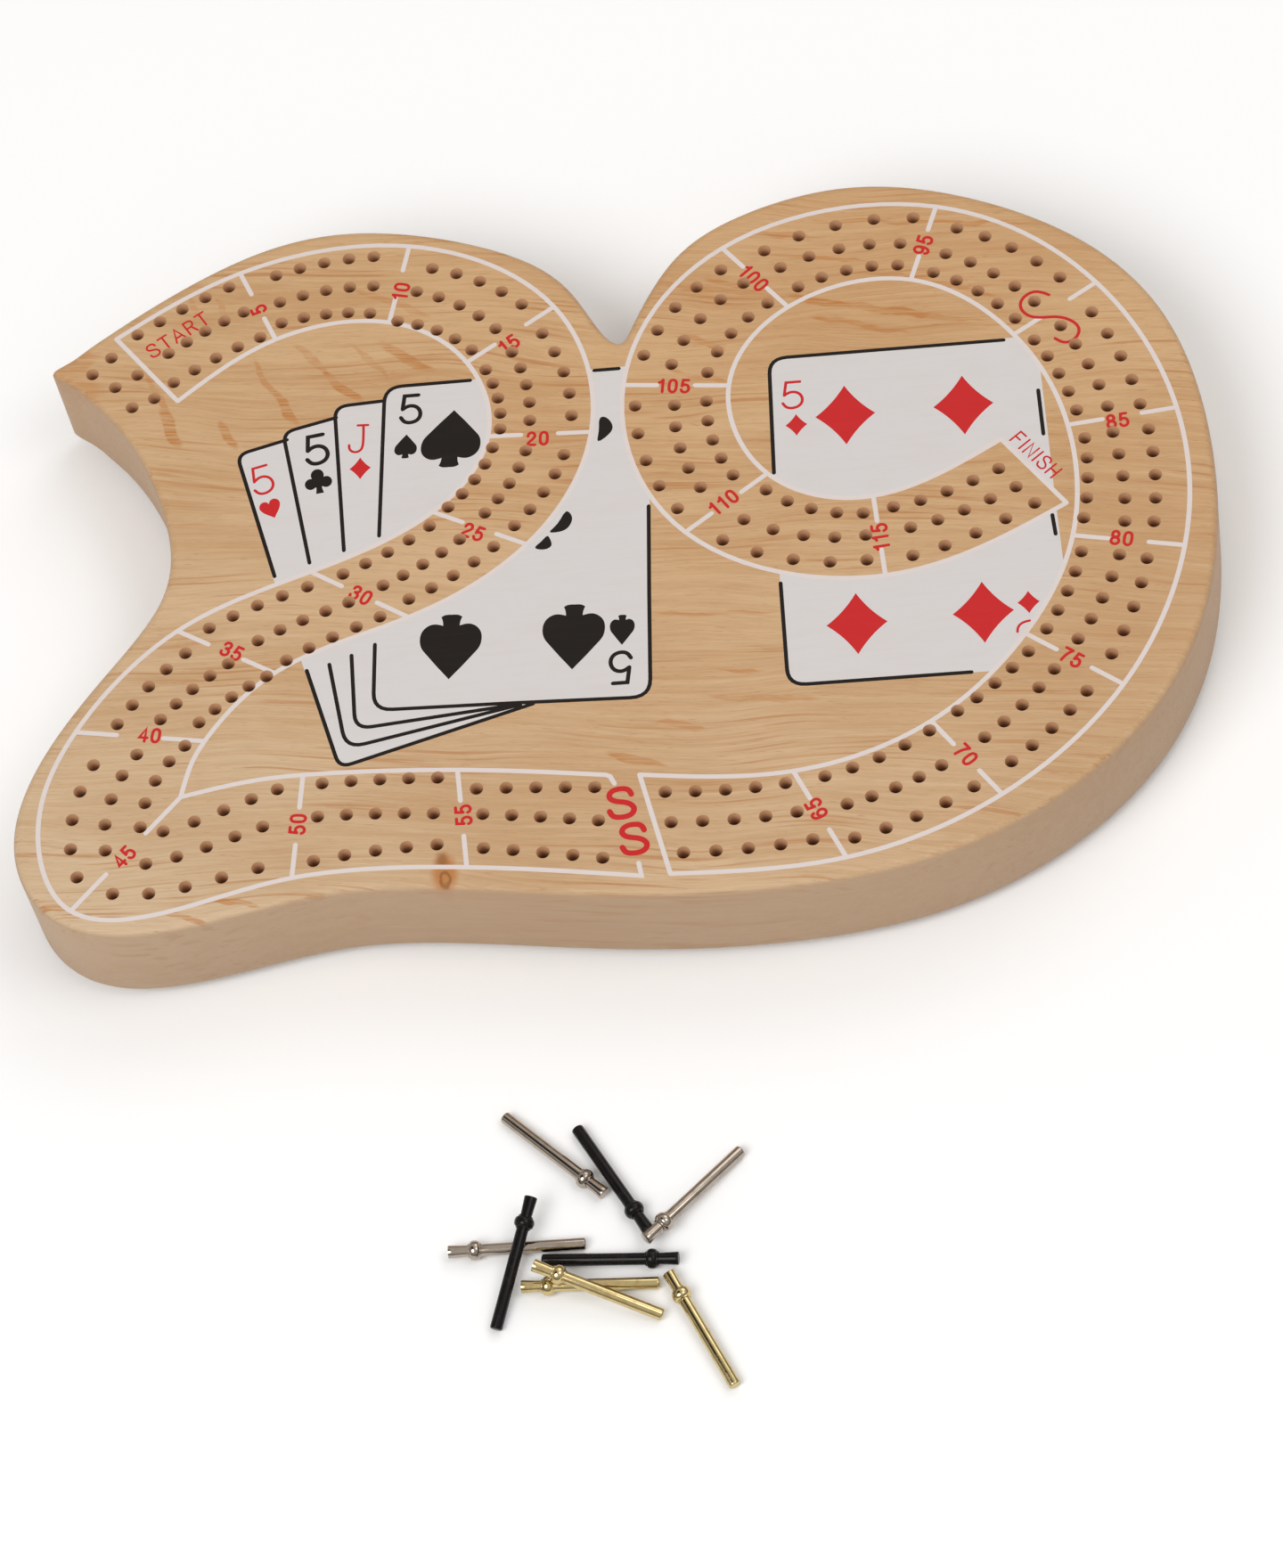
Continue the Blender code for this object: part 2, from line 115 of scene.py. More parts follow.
class Slot(Enum):
    """The material slots of the solids."""

    WOOD = "board_wood"
    STEEL = "plated_steel"
    NICKEL = "nickel_silver"
    BLACK = "black_metal"
    BRASS = "polished_brass"
    RUBBER = "black_rubber"


class InkLayer(Enum):
    """The printed layers, with the height of each above the bare wood in millimetres."""

    CARD = 0.012
    BLACK = 0.022
    LINE = 0.032
    RED = 0.041


class Suit(Enum):
    """The four suits of playing cards."""

    SPADE = "spade"
    HEART = "heart"
    CLUB = "club"
    DIAMOND = "diamond"


class Stroke(Enum):
    """Whether a letter's stroke is straight or curved between its points."""

    LINE = "line"
    CURVE = "curve"


LINE, CURVE = Stroke


def linear(red: float, green: float, blue: float) -> Colour:
    """A colour of 0 to 255 display values as the shader reads it: ((v + 0.055) / 1.055) ** 2.4."""
    shares = (np.array((red, green, blue)) / 255 + 0.055) / 1.055
    return tuple(float(share) for share in shares ** 2.4)


def unit(rows: np.ndarray) -> np.ndarray:
    """Each row divided by its own length."""
    return rows / np.linalg.norm(rows, axis=1)[:, None]


def spun(angle: float) -> np.ndarray:
    """The matrix that turns rows of plan points by an angle in degrees."""
    cos, sin = math.cos(math.radians(angle)), math.sin(math.radians(angle))
    return np.array(((cos, sin), (-sin, cos)))


def bent(start: np.ndarray, corner: np.ndarray, stop: np.ndarray, share: np.ndarray) -> np.ndarray:
    """A bend from a to b that leans to c: (1 - t)^2 a + 2 t (1 - t) c + t^2 b."""
    return (1 - share) ** 2 * start + 2 * share * (1 - share) * corner + share ** 2 * stop


def lifted(plan: np.ndarray, height: float) -> np.ndarray:
    """Plan points at one height."""
    return np.column_stack((plan, np.full(len(plan), height)))


def circle(centre: Plan, radius: float, sides: int) -> np.ndarray:
    """A ring of points: centre + r (cos t, sin t)."""
    turns = 2 * np.pi * np.arange(sides) / sides
    return np.column_stack((np.cos(turns), np.sin(turns))) * radius + centre


def turned(radius: np.ndarray, height: np.ndarray, sides: int) -> np.ndarray:
    """Rings round an upright axis: (r cos t, r sin t, z).

    Args:
        radius: a radius for each ring, or for each point of each ring.
        height: the heights, in the same layout.
        sides: how many points a ring has.

    Returns:
        An array of rings.
    """
    turns = 2 * np.pi * np.arange(sides) / sides
    layout = (len(radius), sides)
    radius, height = (
        np.broadcast_to(part.reshape(len(part), -1), layout) for part in (radius, height))
    return np.stack((radius * np.cos(turns), radius * np.sin(turns), height), axis=2)


def smooth_curve(points: np.ndarray, steps: int, closed: bool = False) -> np.ndarray:
    """A cubic curve through points: p + a t + b t^2 + c t^3, with equal bends where stretches meet.

    Args:
        points: the plan points.
        steps: how many steps each stretch is cut into.
        closed: whether the last point runs on to the first.

    Returns:
        The points of the curve, without a repeat of the first when it is closed.
    """
    points = np.asarray(points, dtype=float)
    count = len(points)
    path = np.vstack((points, points[:1])) if closed else points
    spans = np.sqrt(np.linalg.norm(np.diff(path, axis=0), axis=1))
    slopes = np.diff(path, axis=0) / spans[:, None]
    if closed:
        rows = np.arange(count)
        before = np.roll(spans, 1)
        system = np.diag(2 * (before + spans))
        system[rows, (rows + 1) % count] += spans
        system[rows, (rows - 1) % count] += before
        target = 3 * (slopes - np.roll(slopes, 1, axis=0))
    else:
        rows = np.arange(1, count - 1)
        system = np.eye(count)
        system[rows, rows - 1] = spans[:-1]
        system[rows, rows] = 2 * (spans[:-1] + spans[1:])
        system[rows, rows + 1] = spans[1:]
        target = np.zeros_like(points)
        target[1:-1] = 3 * np.diff(slopes, axis=0)
    bends = np.linalg.solve(system, target)
    if closed:
        bends = np.vstack((bends, bends[:1]))
    run = (spans[:, None] * np.arange(steps) / steps)[..., None]
    rise = (slopes - spans[:, None] * (2 * bends[:-1] + bends[1:]) / 3)[:, None]
    twist = (np.diff(bends, axis=0) / (3 * spans[:, None]))[:, None]
    curve = path[:-1, None] + run * (rise + run * (bends[:-1, None] + run * twist))
    curve = curve.reshape(-1, 2)
    return curve if closed else np.vstack((curve, points[-1:]))


def rounded(corners: np.ndarray, closed: bool = False) -> np.ndarray:
    """Straight runs with a bend at each corner, which starts and stops a reach from it.

    Args:
        corners: the corners, each with its reach as a third number.
        closed: whether the last corner runs on to the first.

    Returns:
        The plan points.
    """
    corners = np.array(corners, dtype=float)
    points, reach = corners[:, :2], corners[:, 2:]
    if not closed:
        reach[[0, -1]] = 0
    start = points + unit(np.roll(points, 1, axis=0) - points) * reach
    stop = points + unit(np.roll(points, -1, axis=0) - points) * reach
    share = np.linspace(0, 1, CORNER_STEPS + 1)[None, :, None]
    path = bent(start[:, None], points[:, None], stop[:, None], share).reshape(-1, 2)
    return path[np.linalg.norm(path - np.roll(path, 1, axis=0), axis=1) > SAME_PLACE]


def ribbon(path: np.ndarray, width: float) -> np.ndarray:
    """The outline of a line of even width, with half circles at its ends.

    It runs along path + n w / 2 one way and path - n w / 2 back, where n is the normal.

    Args:
        path: the points of the middle line.
        width: the width of the line.

    Returns:
        One closed loop of plan points.
    """
    path = np.asarray(path, dtype=float)
    ahead = unit(np.diff(path, axis=0))
    tangent = np.vstack((ahead[:1], ahead[:-1] + ahead[1:], ahead[-1:]))
    reach = np.maximum(np.linalg.norm(tangent, axis=1), TINY)
    mitre = np.minimum(2 / reach, LONGEST_MITRE)
    mitre[[0, -1]] = 1
    tangent = tangent / reach[:, None]
    normal = np.column_stack((-tangent[:, 1], tangent[:, 0]))
    side = normal * (mitre * width / 2)[:, None]
    turns = np.linspace(0, np.pi, END_STEPS + 1)[1:-1, None]
    far = path[-1] + (normal[-1] * np.cos(turns) + tangent[-1] * np.sin(turns)) * width / 2
    near = path[0] - (normal[0] * np.cos(turns) + tangent[0] * np.sin(turns)) * width / 2
    return np.vstack((path + side, far, (path - side)[::-1], near))


def covered(points: np.ndarray, loops: list[np.ndarray]) -> np.ndarray:
    """Which points lie inside any of the loops.

    A loop goes round a point as often as it has upward edges to the right of it, less its
    downward ones.

    Args:
        points: the plan points to test.
        loops: the closed loops.

    Returns:
        A truth value for each point.
    """
    inside = np.zeros(len(points), dtype=bool)
    for loop in loops:
        near = np.all((points >= loop.min(axis=0)) & (points <= loop.max(axis=0)), axis=1)
        x, y = points[near].T[:, :, None]
        run = np.roll(loop, -1, axis=0) - loop
        rise = y - loop[:, 1]
        side = run[:, 0] * rise - (x - loop[:, 0]) * run[:, 1]
        below, reached = rise >= 0, y < np.roll(loop[:, 1], -1)
        up = (below & reached & (side > 0)).sum(axis=1)
        down = (~below & ~reached & (side < 0)).sum(axis=1)
        inside[near] |= up != down
    return inside


def tile_region(inside: list[np.ndarray], outside: list[np.ndarray]) -> Sheet:
    """Triangles over the union of some loops, less the union of others.

    Every loop's edges are kept by a constrained triangulation, and a triangle stays where its
    middle lies in the region.

    Args:
        inside: the loops whose insides are covered.
        outside: the loops whose insides are left bare.

    Returns:
        The plan points and the triangles, counter-clockwise from above.
    """
    loops = inside + outside
    sizes = np.array([len(loop) for loop in loops])
    firsts = np.repeat(np.cumsum(sizes) - sizes, sizes)
    places = np.arange(sizes.sum())
    nexts = firsts + (places - firsts + 1) % np.repeat(sizes, sizes)
    points = [Vector(point) for point in np.vstack(loops)]
    found = delaunay_2d_cdt(points, np.column_stack((places, nexts)).tolist(), [], 0, CUT_REACH)
    plan = np.array([tuple(vert) for vert in found[0]])
    triangles = np.array([face for face in found[2] if len(face) == 3])
    middles = plan[triangles].mean(axis=1)
    triangles = triangles[covered(middles, inside) & ~covered(middles, outside)]
    one, two, three = plan[triangles].transpose(1, 0, 2)
    area = np.cross(two - one, three - one)
    triangles, area = triangles[np.abs(area) > TINY], area[np.abs(area) > TINY]
    triangles[area < 0] = triangles[area < 0][:, ::-1]
    used, triangles = np.unique(triangles, return_inverse=True)
    return plan[used], triangles.reshape(-1, 3)


def raise_sheet(sheet: Sheet, low: float, high: float) -> Sheet:
    """A closed slab: the sheet at both heights, and a wall on each edge that one triangle has.

    Args:
        sheet: the plan points and triangles, counter-clockwise.
        low: the height of the underside.
        high: the height of the top.

    Returns:
        The corners and the triangles of the slab, facing outwards.
    """
    plan, triangles = sheet
    count = len(plan)
    edges = triangles[:, [[0, 1], [1, 2], [2, 0]]].reshape(-1, 2)
    forward = edges[:, 0] * count + edges[:, 1]
    first, second = edges[~np.isin(forward, edges[:, 1] * count + edges[:, 0])].T
    walls = np.vstack((
        np.column_stack((first, second, second + count)),
        np.column_stack((first, second + count, first + count))))
    corners = np.vstack((lifted(plan, low), lifted(plan, high)))
    return corners, np.vstack((triangles[:, ::-1], triangles + count, walls))


def corners_of(solid: Piece, digits: int) -> Sheet:
    """The corners of a solid in millimetres.

    Args:
        solid: the solid.
        digits: how many decimals of a corner are kept.

    Returns:
        The corners, each of them once, and which of them each vertex is.
    """
    flat = np.empty(len(solid.data.vertices) * 3)
    solid.data.vertices.foreach_get("co", flat)
    rows = np.round(flat.reshape(-1, 3) / MM, digits)
    corners, places = np.unique(rows, axis=0, return_inverse=True)
    return corners, places.reshape(-1)


def middle_of(node: str) -> np.ndarray:
    """The middle of a node's box in millimetres, on the ground."""
    low, high = (np.array(corner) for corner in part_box(node))
    return (low + high) / 2 / MM * (1, 1, 0)


@dataclass(frozen=True)
class Tag:
    """A piece's name, its body and its slot, with the solid that it replaces where it has one."""

    name: str
    body: str
    slot: Slot
    solid: str | None = None


@dataclass
class Shell:
    """Corners, faces and face finishes that are gathered into one mesh."""

    corners: list[np.ndarray] = field(default_factory=list)
    faces: list[list[int]] = field(default_factory=list)
    finishes: list[int] = field(default_factory=list)

    def add(self, corners: np.ndarray, faces: np.ndarray, finish: int = 0) -> None:
        """Add a patch.

        Args:
            corners: the patch's corners.
            faces: its faces, as places in those corners.
            finish: which of the piece's materials it has.
        """
        shift = sum(len(block) for block in self.corners)
        self.corners.append(np.asarray(corners, dtype=float))
        self.faces += (np.asarray(faces) + shift).tolist()
        self.finishes += [finish] * len(faces)

    def add_stack(self, rings: np.ndarray, finish: int = 0, flip: bool = False) -> None:
        """Add the wall between rings: quads from each ring to the next.

        Args:
            rings: an array of rings, counter-clockwise from above, going up.
            finish: which of the piece's materials it has.
            flip: whether the wall faces inwards.
        """
        levels, count = rings.shape[:2]
        first = np.arange(count) + (np.arange(levels - 1) * count)[:, None]
        second = np.roll(first, -1, axis=1)
        quads = np.stack((first, second, count + second, count + first), axis=2).reshape(-1, 4)
        self.add(rings.reshape(-1, 3), quads[:, ::-1] if flip else quads, finish)

    def add_fan(self, ring: np.ndarray, hub: np.ndarray, finish: int, flip: bool = False) -> None:
        """Add triangles from a ring to a hub.

        Args:
            ring: the ring, counter-clockwise from above.
            hub: the point that they meet at.
            finish: which of the piece's materials they have.
            flip: whether they face down.
        """
        count = len(ring)
        first = np.arange(count)
        fan = np.column_stack((first, np.roll(first, -1), np.full(count, count)))
        self.add(np.vstack((ring, hub)), fan[:, [1, 0, 2]] if flip else fan, finish)

    def add_turned(self, rings: np.ndarray) -> None:
        """Add a closed solid of rings, with a fan at each end.

        Args:
            rings: an array of rings, from the lowest middle outwards and up.
        """
        self.add_stack(rings)
        self.add_fan(rings[0], rings[0].mean(axis=0), 0, flip=True)
        self.add_fan(rings[-1], rings[-1].mean(axis=0), 0)

    def piece(self, tag: Tag, materials: list[Material], sharp: float = 30.0,
              places: np.ndarray | None = None) -> Piece:
        """Make the gathered patches one object with its seams joined, fixed to its body, with the
        solid it replaces hidden.

        Args:
            tag: the piece's name, its body, its slot and the solid it replaces.
            materials: the piece's materials, in the order of the face finishes.
            sharp: the angle in degrees past which an edge stays sharp.
            places: where each corner of each face lies on a map of its own, if there is one.

        Returns:
            The object, at the origin, with its place in its mesh.
        """
        mesh = bpy.data.meshes.new(tag.name)
        mesh.from_pydata((np.vstack(self.corners) * MM).tolist(), [], self.faces)
        mesh.polygons.foreach_set("material_index", self.finishes)
        if places is not None:
            mesh.uv_layers.new(name=OWN_MAP).data.foreach_set("uv", places.ravel())
        for material in materials:
            mesh.materials.append(material)
        joined = bmesh.new()
        joined.from_mesh(mesh)
        bmesh.ops.remove_doubles(joined, verts=joined.verts, dist=JOIN_REACH)
        joined.to_mesh(mesh)
        joined.free()
        mesh.shade_smooth()
        mesh.set_sharp_from_angle(angle=math.radians(sharp))
        item = bpy.data.objects.new(tag.name, mesh)
        bpy.context.scene.collection.objects.link(item)
        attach(item, tag.body)
        if tag.solid is not None:
            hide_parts(tag.solid)
        LOG.info("%s on %s: %d faces", tag.name, tag.body, len(mesh.polygons))
        return item


@dataclass(frozen=True)
class Grain:
    """One layer of cloudy noise.

    The scale is in pattern units to a metre, and the turn in degrees about Z. What is shown is the
    range of the noise that counts, then what it gives at the two ends of that range.
    """

    scale: Colour
    turn: float = 0.0
    detail: float = 2.0
    rough: float = 0.5
    shown: tuple[float, ...] = (0.0, 1.0)


@dataclass(frozen=True)
class Spot:
    """A soft spot: its middle and half its length, width and depth in metres, and its turn."""

    middle: Colour
    half: Colour
    turn: float = 0.0


class NodeSheet:
    """A node tree, with short ways to add the nodes that the finishes share."""

    def __init__(self, tree: bpy.types.NodeTree, place: str = "Object") -> None:
        """Start with the place that the patterns lie in.

        Args:
            tree: the tree to add to.
            place: the kind of place.
        """
        self.tree = tree
        self.place = tree.nodes.new("ShaderNodeTexCoord").outputs[place]

    def node(self, kind: str, inputs: dict[str | int, object],
             **settings: object) -> bpy.types.Node:
        """Add a node.

        Args:
            kind: the node's type.
            inputs: constants and links for its inputs.
            settings: its own settings.

        Returns:
            The node.
        """
        node = self.tree.nodes.new(kind)
        for key, value in settings.items():
            setattr(node, key, value)
        for key, value in inputs.items():
            if isinstance(value, Port):
                self.tree.links.new(value, node.inputs[key])
            else:
                node.inputs[key].default_value = value
        return node

    def coordinate(self, axis: str, vector: Port) -> Port:
        """One coordinate of a vector."""
        return self.node("ShaderNodeSeparateXYZ", {0: vector}).outputs[axis]

    def times(self, first: Port | float, second: Port | float) -> Port:
        """The product of two values."""
        return self.node("ShaderNodeMath", {0: first, 1: second}, operation="MULTIPLY").outputs[0]

    def plus(self, first: Port | float, second: Port | float) -> Port:
        """The sum of two values."""
        return self.node("ShaderNodeMath", {0: first, 1: second}, operation="ADD").outputs[0]

    def larger(self, first: Port | float, second: Port | float) -> Port:
        """The larger of two values."""
        return self.node("ShaderNodeMath", {0: first, 1: second}, operation="MAXIMUM").outputs[0]

    def window(self, value: Port, low: float, high: float, least: float = 0.0, most: float = 1.0,
               smooth: bool = True) -> Port:
        """A value carried from one range to another, and held at its ends.

        Args:
            value: the value.
            low: where the first range starts.
            high: where it ends.
            least: what is given at its start.
            most: what is given at its end.
            smooth: whether it eases in and out.

        Returns:
            The value socket.
        """
        return self.node(
            "ShaderNodeMapRange",
            {"Value": value, "From Min": low, "From Max": high, "To Min": least, "To Max": most},
            interpolation_type="SMOOTHSTEP" if smooth else "LINEAR").outputs[0]

    def noise(self, grain: Grain, start: Port | None = None) -> Port:
        """Cloudy noise, from 0 to 1, over a place that is turned and then stretched.

        Args:
            grain: the layer of noise.
            start: the place to begin from, or the piece's own.

        Returns:
            The value socket.
        """
        place = self.place if start is None else start
        turn = (0.0, 0.0, math.radians(grain.turn))
        laid = self.node("ShaderNodeMapping", {"Vector": place, "Rotation": turn})
        laid = self.node("ShaderNodeMapping", {"Vector": laid.outputs[0], "Scale": grain.scale})
        return self.node("ShaderNodeTexNoise", {
            "Vector": laid.outputs[0], "Scale": 1.0, "Detail": grain.detail,
            "Roughness": grain.rough}).outputs[0]

    def layer(self, grain: Grain, start: Port | None = None) -> Port:
        """The part of a layer of noise that is shown."""
        return self.window(self.noise(grain, start), *grain.shown)

    def stirred(self, scale: Colour, reach: Colour) -> Port:
        """The place on the piece, moved about by cloudy noise: p + reach (n - 1/2).

        Args:
            scale: the scale of the noise.
            reach: how far it moves a place along each axis, in metres.

        Returns:
            The vector socket.
        """
        cloud = self.noise(Grain(scale)).node.outputs["Color"]
        back = tuple(-part / 2 for part in reach)
        moved = self.node(
            "ShaderNodeVectorMath", {0: cloud, 1: reach, 2: back}, operation="MULTIPLY_ADD")
        places = {0: self.place, 1: moved.outputs[0]}
        return self.node("ShaderNodeVectorMath", places, operation="ADD").outputs[0]

    def spot(self, place: Port, spot: Spot) -> Port:
        """A soft spot: 1 at its middle, falling evenly to 0 on a turned ellipsoid.

        Args:
            place: the place to measure from.
            spot: the spot.

        Returns:
            The value socket.
        """
        laid = self.node("ShaderNodeMapping", {
            "Vector": place, "Location": spot.middle, "Rotation": (0.0, 0.0, spot.turn),
            "Scale": spot.half}, vector_type="TEXTURE").outputs[0]
        return self.node(
            "ShaderNodeTexGradient", {"Vector": laid}, gradient_type="SPHERICAL").outputs["Fac"]

    def mix(self, share: Port | float, first: Port | Colour, second: Port | Colour,
            blend: Blend = Blend.MIX) -> Port:
        """Two colours mixed.

        Args:
            share: the share of the second.
            first: the first colour.
            second: the second colour.
            blend: how the second joins the first.

        Returns:
            The colour socket.
        """
        first, second = (
            (*colour, 1.0) if isinstance(colour, tuple) else colour for colour in (first, second))
        return self.node(
            "ShaderNodeMix", {0: share, 6: first, 7: second}, data_type="RGBA",
            blend_type=blend.value).outputs[2]


class FinishSheet(NodeSheet):
    """The node tree of one material, with a bare Principled shader."""

    def __init__(self, name: str) -> None:
        """Start the material.

        Args:
            name: the material's name.
        """
        self.material = bpy.data.materials.new(name)
        self.material.use_nodes = True
        super().__init__(self.material.node_tree)
        self.shader = self.tree.nodes["Principled BSDF"]

    def set(self, socket: Socket, value: float | Colour | Port) -> None:
        """Set one of the shader's sockets to a constant, or link it to a pattern.

        Args:
            socket: the socket.
            value: the constant or the pattern.
        """
        target = self.shader.inputs[socket.value]
        if isinstance(value, Port):
            self.tree.links.new(value, target)
        else:
            target.default_value = (*value, 1.0) if isinstance(value, tuple) else value

    def bump(self, height: Port, depth: float, strength: float) -> None:
        """Raise the surface by a pattern from 0 to 1, whose depth at 1 is in metres.

        Args:
            height: the pattern.
            depth: its depth.
            strength: how strongly it counts.
        """
        inputs = {"Height": height, "Distance": depth, "Strength": strength}
        self.set(Socket.NORMAL, self.node("ShaderNodeBump", inputs).outputs[0])


OWN_MAP = "turned"
GRAIN_LEAN = 5.5
MOST_NOISE = (0.3, 0.7)
WOOD_TOP = 0.0320

# Orange flecks in the wood's top: the two ends, the width, and how strongly each one shows
FLECKS = np.array((
    (-78, 62.9, -68, 52, 2, 0.4), (-70.8, 54.8, -60.6, 44.4, 2.7, 0.8),
    (-63.2, 61, -54, 50.9, 1.7, 0.4), (-56.8, 60.9, -43.5, 51.4, 2.8, 0.75),
    (-87.6, 59.6, -82, 47, 1.9, 0.5), (-83.2, 50, -75.8, 39.5, 2.9, 0.8),
    (-110.6, 47.2, -104.6, 35.2, 3.1, 0.85), (-95.2, 42.5, -91.8, 33.4, 2.5, 0.75),
    (-114, 57, -108.9, 45.6, 1.9, 0.5), (-103.6, 80, -101, 72.6, 1.8, 0.4),
    (-97.1, 77.8, -94, 71.1, 1.8, 0.4), (-62.4, 77.5, -43.9, 67.3, 2.2, 0.45),
    (-141, 66, -126, 52, 11, 0.4), (43.6, 65.2, 60, 60.8, 2, 0.85), (53, 62.8, 70, 57.8, 1.6, 0.55),
    (62, 59.8, 78.6, 56, 2.2, 0.85), (74, 56.6, 91, 53.8, 1.4, 0.5),
    (48.6, 58.8, 64.6, 54.8, 1.9, 0.75), (59.6, 55.6, 72.4, 51.4, 1.4, 0.55),
    (11, 72.4, 42.6, 65, 1.8, 0.45), (23.6, 72.7, 35.4, 67.9, 1.7, 0.65),
    (18, 56, 28, 51.3, 2, 0.6), (36.4, 84.2, 48.6, 81.9, 1.5, 0.55),
    (49.9, 86.1, 105, 80.4, 1.2, 0.6), (32.8, 78.8, 63, 73.8, 1.2, 0.5),
    (59.6, 70.8, 79.6, 67.3, 1.6, 0.65), (76.6, 66.2, 94.6, 60.7, 1.4, 0.55),
    (13.6, 47.2, 28.9, 41.4, 1.6, 0.45), (7.7, -20.2, 37, -22.7, 1.2, 0.5),
    (20.9, -36.3, 34.6, -38, 1.5, 0.55), (-3, -56.6, 10.8, -61.5, 2.2, 0.65),
    (8, -49.6, 21, -52.7, 2, 0.5), (22, -43.7, 47, -47.1, 1.8, 0.45),
    (-138, -87.1, -128.6, -88, 1.8, 0.55), (-95.4, -88.4, -84.6, -90.8, 1.8, 0.6),
    (-108.8, -90.8, -95.6, -94.2, 1.6, 0.55), (-138.5, 60.8, -125, 64.3, 5, 0.45),
))

# The borders of the two tracks: a station's left and right place, and whether it is ticked
TWO_STATIONS = np.array((
    (-121.5, 68.3, -106, 49, 0), (-91, 84.6, -82, 64.5, 1), (-49, 88.5, -54, 66.8, 1),
    (-13.5, 67.5, -35, 53.5, 1), (-5, 31, -30, 32, 1), (-21, 1, -43.5, 12, 1),
    (-49.5, -16.5, -73, -2, 1), (-81.5, -29, -105, -15.5, 1), (-98, -46, -129, -41, 1),
    (-101.5, -53, -137.3, -66, 0), (-103.5, -60.5, -129, -88.5, 1), (-89.7, -58, -105, -90.3, 0),
    (-74.5, -57, -77, -84, 1), (-38, -58.7, -36, -84.5, 1), (-3.2, -62.9, 4.6, -90, 0),
))
NINE_STATIONS = np.array((
    (4.7, -63.5, 11.3, -90, 0), (40.5, -65.5, 52, -89, 1), (73, -55, 88.5, -75.5, 1),
    (96, -33.5, 118, -49, 1), (108.5, -8, 134.5, -13, 1), (109, 22.5, 135, 25, 1),
    (97.5, 49, 118, 62, 1), (73.5, 67, 80.5, 87.5, 1), (43.5, 62, 28, 80.5, 1),
    (28.5, 41, 3, 43.5, 1), (37, 15.5, 17, 1, 1), (62, 7, 64, -15, 1), (93, 20, 107.5, 1, 0),
))

# Each number's middle and the angle that it reads along, in degrees
LABELS = (
    ("5", -86.3, 73.5, 114), ("10", -51.1, 75.5, 77), ("15", -24.7, 57.8, 33),
    ("20", -18, 30.3, -2), ("25", -33.8, 5.6, -26), ("30", -60.9, -9.5, -32),
    ("35", -91.8, -22.2, -30), ("40", -111.2, -43.3, -9), ("45", -116.7, -75.3, 48),
    ("50", -75.7, -70, 85), ("55", -36.7, -70.8, 94), ("65", 45.5, -75.9, 116),
    ("70", 80.6, -64.5, -53), ("75", 106.4, -40.9, -35), ("80", 119.9, -9.8, -11),
    ("85", 120.8, 22.6, 5), ("95", 76.9, 76.7, 71), ("100", 35.4, 71.1, -50),
    ("105", 15.2, 42.1, -6), ("110", 26.3, 8.4, 36), ("115", 63.2, -4.5, 95),
)

# The printed cards: the corners of the white ground, then of the black edges that show, with
# the reach of each bend
FAN_GROUND = np.array((
    (-91.2, 32.3, 3), (-79.5, 35.4, 0), (-80, 37.6, 2.2), (-67.3, 40.6, 0), (-67.4, 43.8, 3),
    (-55.3, 44.4, 0), (-55.1, 48.3, 4.4), (8.8, 48.8, 0), (8.7, 9, 0), (7.7, -43, 4.8),
    (-19.5, -42.3, 0), (-65.9, -55.8, 3), (-74.3, -29, 0), (-82.2, -2.5, 0),
))
DIAMOND_GROUND = np.array((
    (38.4, 47.8, 4.4), (100, 48.2, 0), (102.8, 44, 0), (103.4, 37, 0), (104.2, 20, 0),
    (104.8, 5, 0), (105.4, -6, 0), (106.4, -24, 0), (104, -43, 0), (40.2, -42.8, 4.4),
    (39.1, -15, 0), (38.5, 15, 0),
))
CARD_EDGES = (
    ((-34.2, 48.3, 0), (-55.1, 48.2, 4.4), (-56.5, 6.5, 0)),
    ((2, 48.3, 0), (-4, 48.3, 0)),
    ((-57.5, -23.3, 0), (-57.9, -41.1, 4.6), (-25, -41.9, 0), (7.7, -43, 4.8), (8, -15, 0),
     (8.4, 9, 0)),
    ((-79, 35.5, 0), (-91.2, 32.3, 3), (-81.7, -2.5, 0)),
    ((-67, 40.7, 0), (-80, 37.6, 3), (-73.3, 0.5, 0)),
    ((-55.5, 44.4, 0), (-67.4, 43.8, 3.4), (-65, 3.2, 0)),
    ((-73.8, -29, 0), (-65.9, -55.8, 3), (-20, -42.5, 0)),
    ((-68.4, -27.8, 0), (-64.4, -50.8, 4.6), (-23, -42.5, 0)),
    ((-63.1, -25.8, 0), (-62.2, -45.8, 4), (-25, -42.5, 0)),
    ((95, 47.7, 0), (38.4, 47.7, 4.4), (38.6, 15.5, 0)),
    ((39.2, -15, 0), (40.1, -42.7, 4.4), (83, -42.8, 0)),
    ((102.5, 32.8, 0), (103.1, 20.5, 0)),
    ((104, -2, 0), (104.5, -7.3, 0)),
)

